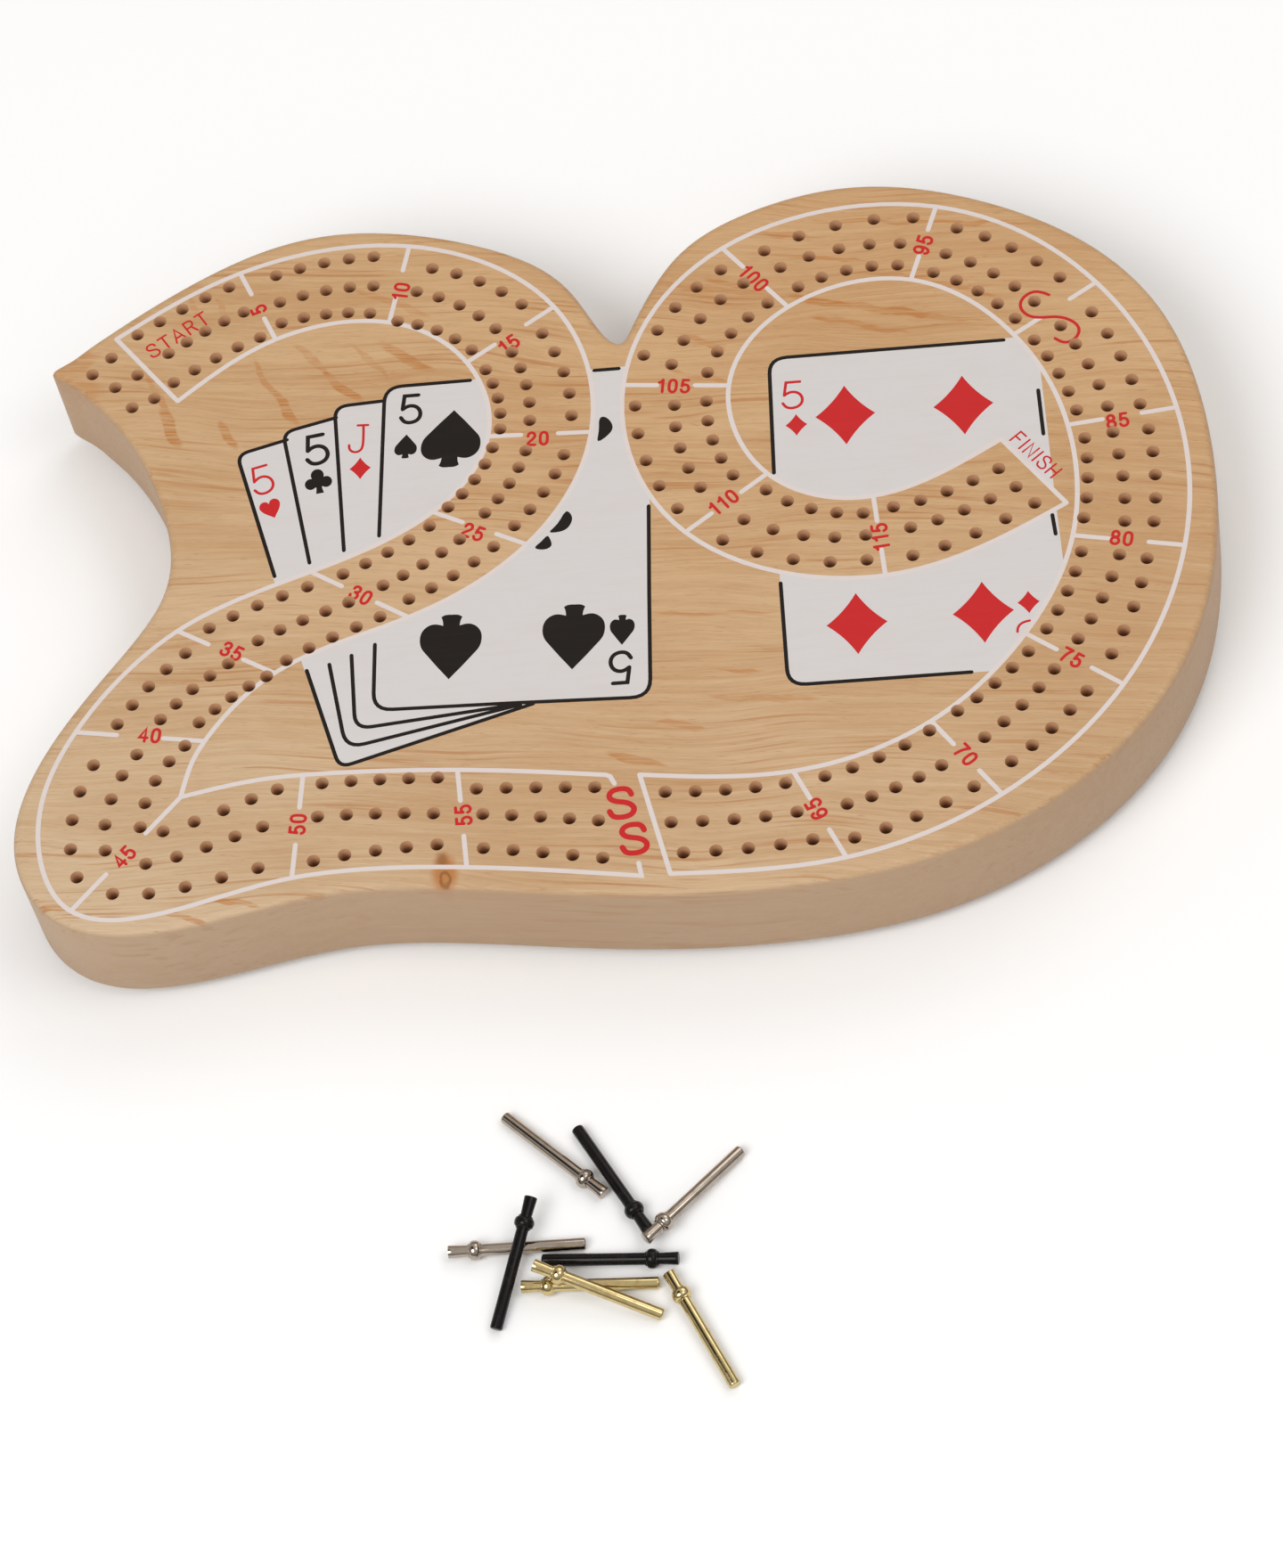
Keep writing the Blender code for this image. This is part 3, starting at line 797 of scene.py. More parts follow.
# Suit marks in shares of their height; a half runs from the top down, right of the middle
HALVES = {
    Suit.SPADE: (
        ((0, 0.5), (0.105, 0.395), (0.214, 0.288), (0.375, 0.119), (0.473, 0), (0.5, -0.136),
         (0.464, -0.254), (0.36, -0.337), (0.25, -0.355), (0.134, -0.33)),
        ((0.134, -0.33), (0.143, -0.4), (0.17, -0.465)),
        ((0.17, -0.465), (0.11, -0.495), (0, -0.5))),
    Suit.HEART: (
        ((0, 0.3), (0.07, 0.43), (0.22, 0.5), (0.39, 0.45), (0.5, 0.27), (0.46, 0.05),
         (0.31, -0.18), (0.12, -0.38), (0, -0.52)),),
}
CLUB_LEAVES = (
    ((0, 0.25), 0.25), ((0.3, -0.07), 0.225), ((-0.3, -0.07), 0.225), ((0, -0.01), 0.2),
    ((0.16, -0.05), 0.19), ((-0.16, -0.05), 0.19))
CLUB_STEM = ((-0.11, 0), (0.11, 0), (0.11, -0.3), (0.15, -0.5), (-0.15, -0.5), (-0.11, -0.3))
DIAMOND_CORNERS = np.array(((0, 0.5), (0.5, 0), (0, -0.5), (-0.5, 0)))
DIAMOND_HOLLOW = 0.10
DIAMOND_STEPS = 8
LEAF_SIDES = 20
MARK_STEPS = 3

# Each letter's width, then its strokes with their points, in hundredths of its height
LETTER_STEPS = 4
GLYPHS = {
    "0": (56, (CURVE, 28, 93.5, 13, 86, 6.5, 66, 6, 50, 6.5, 34, 13, 14, 28, 6.5, 43, 14, 49.5, 34,
          50, 50, 49.5, 66, 43, 86, 28, 93.5)),
    "1": (44, (LINE, 30, 6.5, 30, 93.5), (CURVE, 30, 93.5, 22, 80, 8, 74)),
    "2": (56, (CURVE, 7, 68, 12, 85, 28, 93.5, 44, 86, 49, 70, 42, 54, 24, 36, 11, 21, 6, 6.5),
          (LINE, 6, 6.5, 51, 6.5)),
    "3": (56, (CURVE, 7, 73, 12, 87, 27, 93.5, 42, 88, 47, 74, 41, 60, 24, 53), (CURVE, 24, 53, 44,
          46, 51, 30, 44, 13, 28, 6.5, 11, 12, 5, 27)),
    "4": (56, (LINE, 40, 6.5, 40, 93.5, 5, 31, 54, 31)),
    "5": (56, (LINE, 47, 93, 14, 93, 9, 50), (CURVE, 9, 50, 18, 57, 30, 60, 44, 53, 51, 35, 46, 16,
          30, 6.5, 14, 10, 5, 24)),
    "6": (56, (CURVE, 48, 76, 42, 89, 30, 93.5, 15, 85, 7, 64, 6, 38, 12, 15, 29, 6.5, 45, 15, 51,
          33, 45, 51, 29, 59, 13, 51, 6.5, 36)),
    "7": (56, (LINE, 5, 93, 51, 93), (CURVE, 51, 93, 35, 66, 25, 36, 21, 6.5)),
    "8": (56, (CURVE, 28, 53, 13, 60, 9, 74, 15, 88, 28, 93.5, 41, 88, 47, 74, 43, 60, 28, 53),
          (CURVE, 28, 53, 11, 44, 5, 29, 11, 13, 28, 6.5, 45, 13, 51, 29, 45, 44, 28, 53)),
    "9": (56, (CURVE, 8, 24, 14, 11, 26, 6.5, 41, 15, 49, 36, 50, 62, 44, 85, 27, 93.5, 11, 85, 5,
          67, 11, 49, 27, 41, 43, 49, 49.5, 64)),
    "A": (60, (LINE, 1, 6.5, 29, 93.5, 57, 6.5), (LINE, 11, 35, 47, 35)),
    "F": (54, (LINE, 7, 6.5, 7, 93.5, 48, 93.5), (LINE, 7, 51, 42, 51)),
    "H": (58, (LINE, 7, 6.5, 7, 93.5), (LINE, 51, 6.5, 51, 93.5), (LINE, 7, 51, 51, 51)),
    "I": (20, (LINE, 10, 6.5, 10, 93.5)),
    "N": (58, (LINE, 7, 6.5, 7, 93.5, 51, 6.5, 51, 93.5)),
    "R": (58, (LINE, 7, 6.5, 7, 93.5, 32, 93.5), (CURVE, 32, 93.5, 46, 87, 50, 72, 45, 57, 32, 50),
          (LINE, 32, 50, 7, 50), (LINE, 34, 50, 52, 6.5)),
    "S": (60, (CURVE, 53, 72, 47, 88, 30, 94, 13, 88, 8, 74, 15, 61, 31, 53, 47, 44, 55, 27, 48, 11,
          30, 6, 12, 12, 5, 29)),
    "T": (58, (LINE, 3, 93.5, 55, 93.5), (LINE, 29, 93.5, 29, 6.5)),
}


@dataclass(frozen=True)
class HardwoodFinish:
    """Pale hardwood with long soft streaks, fine pores, orange flecks and one small knot."""

    pale: Colour = linear(209, 175, 134)
    tan: Colour = linear(196, 156, 112)
    streak: Colour = linear(184, 129, 80)
    pore: Colour = linear(150, 106, 66)
    fleck: Colour = linear(184, 123, 68)
    # The sawn sides' colour, darker than the top: partly the wood's own tone there, partly painted
    # shade on the upright faces
    edge: Colour = linear(177, 148, 121)
    raw: Colour = linear(232, 188, 148)
    # Painted shade: the dark brown that the holes and the pocket turn to further down
    painted_hole_shade: Colour = linear(146, 94, 60)
    knot: Colour = linear(128, 82, 44)
    # Painted light: tints that multiply the wood by where it lies, cooler and paler to the front
    # and left, warmer and darker to the back
    front: Colour = (0.985, 1.03, 1.13)
    back: Colour = (0.975, 0.91, 0.845)
    left: Colour = (1.01, 1.065, 1.14)
    flow: tuple[Colour, Colour] = ((9, 18, 18), (0.0, 0.020, 0.008))
    wobble: tuple[Colour, Colour] = ((110, 110, 110), (0.004, 0.004, 0.0))
    knot_wobble: tuple[Colour, Colour] = ((420, 420, 420), (0.0012, 0.0012, 0.0))
    bands: Grain = Grain((16, 620, 320), GRAIN_LEAN, 5.0, 0.65)
    clouds: Grain = Grain((12, 34, 34), GRAIN_LEAN)
    tone: tuple[float, float] = (0.36, 0.62)
    streaks: Grain = Grain((22, 1100, 500), GRAIN_LEAN, 1.0, 0.5, (0.57, 0.67, 0.0, 0.68))
    patches: Grain = Grain((22, 90, 90), GRAIN_LEAN, shown=(0.42, 0.60, 0.10, 1.0))
    fibres: Grain = Grain((110, 2600, 2600), GRAIN_LEAN, 2.0, 0.6, (0.60, 0.36, 0.0, 0.14))
    pores: Grain = Grain((300, 4200, 4200), GRAIN_LEAN, 1.0, 0.5, (0.64, 0.78, 0.0, 0.36))
    fleck_grain: Grain = Grain((70, 1500, 1500), GRAIN_LEAN, 2.0, 0.6, (0.38, 0.60, 0.22, 1.0))
    lacquer: Grain = Grain((120, 2400, 2400), GRAIN_LEAN, shown=(0.3, 0.7, 0.45, 0.57))
    fuzz: Grain = Grain((900, 1400, 2600), shown=(0.25, 0.75, 1.0, 0.75))
    # Where the painted light tint runs, in metres: from front to back along Y, and from the middle
    # to the left along X
    back_reach: tuple[float, float] = (-0.075, 0.135)
    left_reach: tuple[float, float] = (0.02, -0.12)
    # How far the sides' colour, partly painted shade, covers a face by how upright it is
    side_tone_and_shade_share: tuple[float, ...] = (0.85, 0.35, 0.0, 0.7)
    # The heights in metres over which the painted shade deepens down the holes, and how strongly it
    # shows
    painted_hole_shade_share: tuple[float, ...] = (0.0314, 0.0268, 0.0, 0.70)
    fleck_length: float = 0.58
    fleck_width: float = 0.56
    fleck_depth: float = 0.009
    fleck_fade: float = 0.34
    fleck_gain: float = 1.25
    halo: Spot = Spot((-0.0411, -0.0307, WOOD_TOP), (0.0040, 0.0066, 0.012))
    halo_share: tuple[float, ...] = (0.0, 0.6, 0.0, 0.95)
    smudge: Spot = Spot((-0.0417, -0.0274, WOOD_TOP), (0.0024, 0.0030, 0.012))
    smudge_share: tuple[float, ...] = (0.0, 0.8, 0.0, 0.60)
    eye: Spot = Spot((-0.0410, -0.0325, WOOD_TOP), (0.0016, 0.0027, 0.012), 0.1)
    eye_share: float = 0.65
    eye_edges: tuple[tuple[float, float], ...] = ((0.05, 0.30), (0.70, 0.42))
    specular: float = 0.22
    relief: tuple[float, float] = (0.00003, 0.4)
    raw_rough: tuple[float, float] = (0.62, 0.80)
    raw_specular: float = 0.2
    raw_relief: tuple[float, float] = (0.00006, 0.6)

    def body(self, sheet: NodeSheet) -> Port:
        """The colour of the wood: bands, streaks, fibres and pores, gently bent, under a tint of
        painted light that is cooler and paler to the front and left and warmer and darker to the
        back.

        Args:
            sheet: the node sheet to add to.

        Returns:
            The colour socket.
        """
        flow = sheet.stirred(*self.flow)
        tone = sheet.plus(
            sheet.times(sheet.noise(self.bands, flow), 0.5),
            sheet.times(sheet.noise(self.clouds), 0.5))
        colour = sheet.mix(sheet.window(tone, *self.tone), self.tan, self.pale)
        share = sheet.times(sheet.layer(self.streaks, flow), sheet.layer(self.patches))
        colour = sheet.mix(share, colour, self.streak)
        colour = sheet.mix(sheet.layer(self.fibres, flow), colour, self.pore)
        colour = sheet.mix(sheet.layer(self.pores), colour, self.pore)
        # Painted light: a tint by place, cooler and paler to the front and left, warmer and darker
        # to the back
        across = sheet.window(sheet.coordinate("Y", sheet.place), *self.back_reach)
        painted_light_tint = sheet.mix(across, self.front, self.back)
        colour = sheet.mix(1.0, colour, painted_light_tint, Blend.MULTIPLY)
        along = sheet.window(sheet.coordinate("X", sheet.place), *self.left_reach)
        return sheet.mix(along, colour, self.left, Blend.MULTIPLY)

    def flecked(self, sheet: NodeSheet, colour: Port) -> Port:
        """Add the orange flecks, the largest of all soft spots at each place.

        Args:
            sheet: the node sheet to add to.
            colour: the wood's own colour.

        Returns:
            The colour socket.
        """
        place = sheet.stirred(*self.wobble)
        total = None
        for *ends, width, strength in FLECKS:
            run = np.array(ends[2:]) - ends[:2]
            middle = ((np.array(ends[:2]) + ends[2:]) / 2 + BOARD_CENTRE) * MM
            half = (math.hypot(*run) * self.fleck_length * MM, width * self.fleck_width * MM,
                    self.fleck_depth)
            spot = Spot((*middle.tolist(), WOOD_TOP), half, math.atan2(run[1], run[0]))
            level = min(1.0, strength * self.fleck_gain)
            shown = sheet.window(sheet.spot(place, spot), 0.0, self.fleck_fade, 0.0, level)
            total = shown if total is None else sheet.larger(total, shown)
        share = sheet.times(total, sheet.layer(self.fleck_grain))
        return sheet.mix(share, colour, self.fleck)

    def knotted(self, sheet: NodeSheet, colour: Port) -> Port:
        """Add the knot: an orange halo, a dark smudge behind it, and a dark ring round an eye.

        Args:
            sheet: the node sheet to add to.
            colour: the colour to add it to.

        Returns:
            The colour socket.
        """
        place = sheet.stirred(*self.knot_wobble)
        halo, smudge, eye = (sheet.spot(place, spot) for spot in (self.halo, self.smudge, self.eye))
        colour = sheet.mix(sheet.window(halo, *self.halo_share), colour, self.fleck)
        colour = sheet.mix(sheet.window(smudge, *self.smudge_share), colour, self.knot)
        ring = sheet.times(*(sheet.window(eye, *edge) for edge in self.eye_edges))
        return sheet.mix(sheet.times(ring, self.eye_share), colour, self.knot)

    def material(self) -> Material:
        """The lacquered outside of the board, paler, pinker and darker on its sawn sides, partly
        the sawn wood's own tone and partly painted shade.

        Returns:
            The material.
        """
        sheet = FinishSheet("pale_hardwood")
        colour = self.knotted(sheet, self.flecked(sheet, self.body(sheet)))
        # Partly painted shade: upright faces take the darker, greyer side colour
        facing = sheet.coordinate("Z", sheet.place.node.outputs["Normal"])
        colour = sheet.mix(sheet.window(facing, *self.side_tone_and_shade_share), colour, self.edge)
        grain = sheet.noise(self.lacquer)
        sheet.set(Socket.COLOUR, colour)
        sheet.set(Socket.ROUGHNESS, sheet.window(grain, *self.lacquer.shown))
        sheet.set(Socket.SPECULAR, self.specular)
        sheet.bump(grain, *self.relief)
        return sheet.material

    def bored(self) -> Material:
        """The raw wood inside the drilled holes and the routed pocket, with painted shade that
        makes it darker further down.

        Returns:
            The material.
        """
        sheet = FinishSheet("bored_hardwood")
        fuzz = sheet.noise(self.fuzz)
        colour = sheet.mix(sheet.window(fuzz, *self.fuzz.shown), self.body(sheet), self.raw)
        # Painted shade: darker further below the top
        depth = sheet.window(sheet.coordinate("Z", sheet.place), *self.painted_hole_shade_share)
        sheet.set(Socket.COLOUR, sheet.mix(depth, colour, self.painted_hole_shade))
        sheet.set(Socket.ROUGHNESS, sheet.window(fuzz, *MOST_NOISE, *self.raw_rough))
        sheet.set(Socket.SPECULAR, self.raw_specular)
        sheet.bump(fuzz, *self.raw_relief)
        return sheet.material


@dataclass(frozen=True)
class InkFinish:
    """Screen ink that shows the wood's fibres a little, thinner along them and in small clouds."""

    name: str
    colour: Colour
    thin: Colour
    roughness: float = 0.42
    less: float = 0.05
    more: float = 0.06
    specular: float = 0.12
    relief: tuple[float, float] = (0.00001, 0.3)
    fibres: Grain = Grain((80, 1300, 1300), -1.5, shown=(0.5, 0.8, 0.0, 0.20))
    clouds: Grain = Grain((70, 260, 260), shown=(0.5, 0.8, 0.0, 0.20))

    def material(self) -> Material:
        """The ink.

        Returns:
            The material.
        """
        sheet = FinishSheet(self.name)
        fibres, clouds = sheet.noise(self.fibres), sheet.noise(self.clouds)
        share = sheet.plus(
            sheet.window(fibres, *self.fibres.shown), sheet.window(clouds, *self.clouds.shown))
        rough = sheet.window(
            clouds, *MOST_NOISE, self.roughness - self.less, self.roughness + self.more)
        sheet.set(Socket.COLOUR, sheet.mix(share, self.colour, self.thin))
        sheet.set(Socket.ROUGHNESS, rough)
        sheet.set(Socket.SPECULAR, self.specular)
        sheet.bump(fibres, *self.relief)
        return sheet.material


@dataclass(frozen=True)
class TurnedMetalFinish:
    """Polished metal off a lathe, with faint rings and small dull patches."""

    name: str
    colour: Colour
    dull: Colour
    metallic: float
    roughness: float
    specular: float = 0.5
    less: float = 0.05
    more: float = 0.09
    relief: tuple[float, float] = (0.000003, 0.3)
    ring_share: float = 0.6
    smear_share: float = 0.4
    rings: Grain = Grain((1.5, 260, 1), detail=3.0, rough=0.6)
    smears: Grain = Grain((420, 420, 420), shown=(0.45, 0.75, 0.0, 0.55))
    shine: tuple[float, float] = (0.35, 0.65)

    def material(self) -> Material:
        """The metal; the rings follow the piece's own map, whose second axis runs along the peg.

        Returns:
            The material.
        """
        sheet = FinishSheet(self.name)
        along = sheet.node("ShaderNodeUVMap", {}, uv_map=OWN_MAP).outputs[0]
        rings, smears = sheet.noise(self.rings, along), sheet.noise(self.smears)
        dull = sheet.window(smears, *self.smears.shown)
        grain = sheet.plus(
            sheet.times(rings, self.ring_share), sheet.times(smears, self.smear_share))
        rough = sheet.window(
            grain, *self.shine, self.roughness - self.less, self.roughness + self.more)
        sheet.set(Socket.COLOUR, sheet.mix(dull, self.colour, self.dull))
        sheet.set(Socket.METALLIC, self.metallic)
        sheet.set(Socket.SPECULAR, self.specular)
        sheet.set(Socket.ROUGHNESS, rough)
        sheet.bump(rings, *self.relief)
        return sheet.material


@dataclass(frozen=True)
class BrushedPlateFinish:
    """Plated sheet steel: long fine scratches along the plate, and faint clouds."""

    colour: Colour = (0.60, 0.60, 0.58)
    cloudy: Colour = (0.46, 0.45, 0.42)
    scratches: Grain = Grain((3200, 50, 900), detail=3.0, rough=0.6, shown=(0.3, 0.7, 0.23, 0.42))
    clouds: Grain = Grain((90, 90, 90), shown=(0.4, 0.7, 0.0, 0.4))
    relief: tuple[float, float] = (0.00001, 0.5)

    def material(self) -> Material:
        """The plate.

        Returns:
            The material.
        """
        sheet = FinishSheet("plated_steel_brushed")
        lines = sheet.noise(self.scratches)
        sheet.set(Socket.COLOUR, sheet.mix(sheet.layer(self.clouds), self.colour, self.cloudy))
        sheet.set(Socket.METALLIC, 1.0)
        sheet.set(Socket.ROUGHNESS, sheet.window(lines, *self.scratches.shown))
        sheet.bump(lines, *self.relief)
        return sheet.material


@dataclass(frozen=True)
class MouldedRubberFinish:
    """Matt black rubber with a fine moulded grain, a little grey where dust sits."""

    colour: Colour = (0.030, 0.030, 0.031)
    bloom: Colour = (0.060, 0.058, 0.056)
    grain: Grain = Grain((2400, 2400, 2400), shown=(0.3, 0.7, 0.68, 0.86))
    dust: Grain = Grain((260, 260, 260), detail=3.0, shown=(0.42, 0.70))
    relief: tuple[float, float] = (0.00003, 0.6)

    def material(self) -> Material:
        """The rubber.

        Returns:
            The material.
        """
        sheet = FinishSheet("black_rubber_moulded")
        grain = sheet.noise(self.grain)
        sheet.set(Socket.COLOUR, sheet.mix(sheet.layer(self.dust), self.colour, self.bloom))
        sheet.set(Socket.ROUGHNESS, sheet.window(grain, *self.grain.shown))
        sheet.bump(grain, *self.relief)
        return sheet.material


@dataclass(frozen=True)
class PaperFloorFinish:
    """A plain white paper floor."""

    colour: Colour = (0.99, 0.995, 1.0)
    roughness: float = 0.95
    specular: float = 0.05

    def material(self) -> Material:
        """The paper.

        Returns:
            The material.
        """
        sheet = FinishSheet("white_paper_floor")
        sheet.set(Socket.COLOUR, self.colour)
        sheet.set(Socket.ROUGHNESS, self.roughness)
        sheet.set(Socket.SPECULAR, self.specular)
        return sheet.material


@dataclass
class Lettering:
    """Plain strokes of even width, set along a line about its middle."""

    text: str
    middle: Plan
    angle: float
    height: float
    stroke: float
    gap: float = 0.2
    wide: float = 1.0

    def loops(self) -> list[np.ndarray]:
        """The outline of each stroke, in place on the board.

        Returns:
            One loop for each stroke.
        """
        widths = [GLYPHS[letter][0] / 100 * self.wide for letter in self.text]
        start = -(sum(widths) + self.gap * (len(widths) - 1)) / 2
        found = []
        for letter, width in zip(self.text, widths):
            for kind, *numbers in GLYPHS[letter][1:]:
                path = np.reshape(numbers, (-1, 2)) / 100 * (self.wide, 1.0) + (start, -0.5)
                path = smooth_curve(path, LETTER_STEPS) if kind is CURVE else path
                path = path @ spun(self.angle) * self.height + self.middle
                found.append(ribbon(path, self.stroke))
            start += width + self.gap
        return found


@dataclass
class Pip:
    """A suit mark, drawn about its middle, leant, and turned by an angle in degrees."""

    suit: Suit
    middle: Plan
    height: float
    width: float = 1.0
    angle: float = 0.0
    lean: float = 0.0

    def loops(self) -> list[np.ndarray]:
        """The outlines of the mark, in place on the board.

        A club is leaves and a stem, and each side of a diamond bends inwards. A spade or a heart
        is (x, y) down its right side and (-x, y) back up.

        Returns:
            The closed loops.
        """
        if self.suit is Suit.CLUB:
            shapes = [circle(*leaf, LEAF_SIDES) for leaf in CLUB_LEAVES] + [np.array(CLUB_STEM)]
        elif self.suit is Suit.DIAMOND:
            corners = DIAMOND_CORNERS[:, None]
            nexts = np.roll(corners, -1, axis=0)
            pulled = (corners + nexts) / 2 * (1 - 2 * DIAMOND_HOLLOW)
            share = (np.arange(DIAMOND_STEPS) / DIAMOND_STEPS)[:, None]
            shapes = [bent(corners, pulled, nexts, share).reshape(-1, 2)]
        else:
            right = np.vstack([smooth_curve(part, MARK_STEPS) for part in HALVES[self.suit]])
            shapes = [np.vstack((right, (right * (-1, 1))[::-1]))]
        size = (self.width * self.height, self.height)
        sheared = [shape * size @ np.array(((1.0, 0.0), (self.lean, 1.0))) for shape in shapes]
        return [shape @ spun(self.angle) + self.middle for shape in sheared]


@dataclass
class TrackBorders:
    """The left and right borders of both tracks, and what lies between them."""

    steps: int = 12
    corner: int = 10
    line_width: float = 1.15
    tick_share: float = 0.32
    left_end: tuple[Plan, ...] = ((-2.2, -63.4), (-1.2, -65.4))
    right_end: tuple[Plan, ...] = ((4.0, -86.6),)

    def curves(self, stations: np.ndarray, corner: int = 0) -> tuple[np.ndarray, np.ndarray]:
        """The left and right border curves through the stations.

        Args:
            stations: the table of stations.
            corner: the station where the left border turns sharply, if there is one.

        Returns:
            The two curves.
        """
        left = smooth_curve(stations[corner:, :2], self.steps)
        if corner:
            before = smooth_curve(stations[:corner + 1, :2], self.steps)
            left = np.vstack((before[:-1], left))
        return left, smooth_curve(stations[:, 2:4], self.steps)

    def bands(self) -> list[np.ndarray]:
        """The two tracks as closed loops: along the left border and back along the right."""
        both = (self.curves(TWO_STATIONS, self.corner), self.curves(NINE_STATIONS))
        return [np.vstack((left, right[::-1])) for left, right in both]

    def lines(self) -> list[np.ndarray]:
        """The outlines of the border lines, their end lines and the tick marks.

        Returns:
            One loop for each line.
        """
        two_left, two_right = self.curves(TWO_STATIONS, self.corner)
        nine_left, nine_right = self.curves(NINE_STATIONS)
        corner = self.corner * self.steps
        paths = [
            two_left[:corner + 1],
            np.vstack((two_left[corner:], self.left_end)),
            np.vstack((two_right, self.right_end)),
            nine_left,
            nine_right,
            np.array((two_left[0], two_right[0])),
            np.array((nine_left[0], nine_right[0])),
            np.array((nine_left[-1], nine_right[-1])),
        ]
        stations = np.vstack((TWO_STATIONS, NINE_STATIONS))
        for left, right in stations[stations[:, 4] > 0, :4].reshape(-1, 2, 2):
            paths.append(np.array((left, left + (right - left) * self.tick_share)))
            paths.append(np.array((right, right + (left - right) * self.tick_share)))
        return [ribbon(path, self.line_width) for path in paths]


@dataclass
class WoodenBoard:
    """The board: a slab with rounded edges, drilled holes, a routed pocket and two pilot holes."""

    node: str = "board"
    top: float = 32.05
    underside: float = 3.5
    inset: float = 0.10
    skin: float = 0.05
    top_round: float = 2.0
    top_steps: int = 6
    bottom_round: float = 1.0
    bottom_steps: int = 3
    hole_radius: float = 1.59
    hole_chamfer: float = 0.05
    hole_sides: int = 16
    hole_floor: float = 17.1
    drill_point: float = 0.9
    outline_steps: int = 4
    pocket: tuple[float, float, float, float] = (18.0, -28.0, 26.0, 38.0)
    pocket_corner: float = 6.0
    pocket_step: float = 10.0
    pocket_ceiling: float = 14.0
    pilots: tuple[Plan, ...] = ((18.0, -3.0), (18.0, -53.0))
    pilot_radius: float = 1.5
    pilot_sides: int = 24
    pilot_ceiling: float = 12.8
    level_reach: float = 0.01
    flatness: float = 0.9999
    centres: np.ndarray = field(init=False)
    outline: np.ndarray = field(init=False)

    def read_frame(self, frame: dict) -> None:
        """Take the outline and the middles of the holes from the solid.

        Args:
            frame: the loaded frame.
        """
        solid = frame["nodes"][self.node]
        corners, places = corners_of(solid, 3)
        order = np.empty(len(solid.data.loops), dtype=int)
        solid.data.loops.foreach_get("vertex_index", order)
        triangles = places[order].reshape(-1, 3)
        self.centres = self.middles_at(corners, triangles, self.hole_floor) - BOARD_CENTRE
        rim = self.ring_at(corners, triangles, self.top + self.skin - self.top_round) - BOARD_CENTRE
        self.outline = smooth_curve(rim, self.outline_steps, closed=True)
        LOG.info("read %d holes and %d outline points", len(self.centres), len(rim))

    def middles_at(self, corners: np.ndarray, triangles: np.ndarray, height: float) -> np.ndarray:
        """The middle of each flat face at a height.

        Corners that triangles join share the least of their numbers.

        Args:
            corners: the solid's corners.
            triangles: the solid's triangles.
            height: the height.

        Returns:
            One plan point for each face.
        """
        level = np.abs(corners[triangles, 2] - height) < self.level_reach
        flat = triangles[np.all(level, axis=1)]
        group = np.arange(len(corners))
        while True:
            merged = group.copy()
            np.minimum.at(merged, flat.ravel(), np.repeat(group[flat].min(axis=1), 3))
            if np.array_equal(merged, group):
                break
            group = merged
        used = np.unique(flat)
        names, place = np.unique(group[used], return_inverse=True)
        sums = np.zeros((len(names), 2))
        np.add.at(sums, place, corners[used, :2])
        return sums / np.bincount(place)[:, None]

    def ring_at(self, corners: np.ndarray, triangles: np.ndarray, height: float) -> np.ndarray:
        """The loop of edges that lie at a height.

        Args:
            corners: the solid's corners.
            triangles: the solid's triangles.
            height: the height.

        Returns:
            The plan points of the loop, counter-clockwise.
        """
        edges = np.sort(triangles[:, [[0, 1], [1, 2], [2, 0]]].reshape(-1, 2), axis=1)
        level = np.abs(corners[edges, 2] - height) < self.level_reach
        edges = np.unique(edges[np.all(level, axis=1)], axis=0)
        around: dict[int, list[int]] = {}
        for first, second in edges.tolist():
            around.setdefault(first, []).append(second)
            around.setdefault(second, []).append(first)
        loop = [int(edges[0, 0])]
        step = around[loop[0]][0]
        while step != loop[0]:
            before = loop[-1]
            loop.append(step)
            step = next(other for other in around[step] if other != before)
        ring = corners[loop, :2]
        area = np.sum(np.cross(ring, np.roll(ring, -1, axis=0)))
        return ring if area > 0 else ring[::-1]

    def inner(self, distance: float) -> np.ndarray:
        """The outline moved inwards: each point goes along the mean of its two edges' normals.

        Args:
            distance: how far it moves.

        Returns:
            The plan points.
        """
        before = unit(self.outline - np.roll(self.outline, 1, axis=0))
        after = np.roll(before, -1, axis=0)
        mitre = np.column_stack((-(before + after)[:, 1], (before + after)[:, 0]))
        moved = self.outline + mitre * distance / (1 + np.sum(before * after, axis=1))[:, None]
        step = np.roll(moved, -1, axis=0) - moved
        reversed_steps = np.flatnonzero(np.sum(step * after, axis=1) < 0)
        if len(reversed_steps) == 0:
            return moved
        return self.untangle(moved, reversed_steps[0], reversed_steps[-1] + 1)

    def untangle(self, loop: np.ndarray, first: int, last: int) -> np.ndarray:
        """Bring a stretch that has turned inside out to the place where its two ends cross.

        Args:
            loop: the loop.
            first: the first point of the stretch, which widens until the edges beside it cross.
            last: the last point of the stretch.

        Returns:
            The loop, with the stretch at one place.
        """
        while True:
            here, along = loop[first - 1], loop[first] - loop[first - 1]
            there, back = loop[last], loop[last + 1] - loop[last]
            whole = np.cross(along, back)
            if np.cross(there - here, back) / whole < 0:
                first -= 1
            elif np.cross(there - here, along) / whole > 1:
                last += 1
            else:
                break
        loop[first:last + 1] = here + along * np.cross(there - here, back) / whole
        return loop

    def ring(self, distance: float, height: float) -> np.ndarray:
        """The outline moved inwards by a distance, at a height, in the scene's place."""
        return lifted(self.inner(distance) + BOARD_CENTRE, height)

    def rims(self) -> list[np.ndarray]:
        """The outline of each drilled hole on the top."""
        radius = self.hole_radius + self.hole_chamfer
        return [circle(tuple(centre), radius, self.hole_sides) for centre in self.centres]

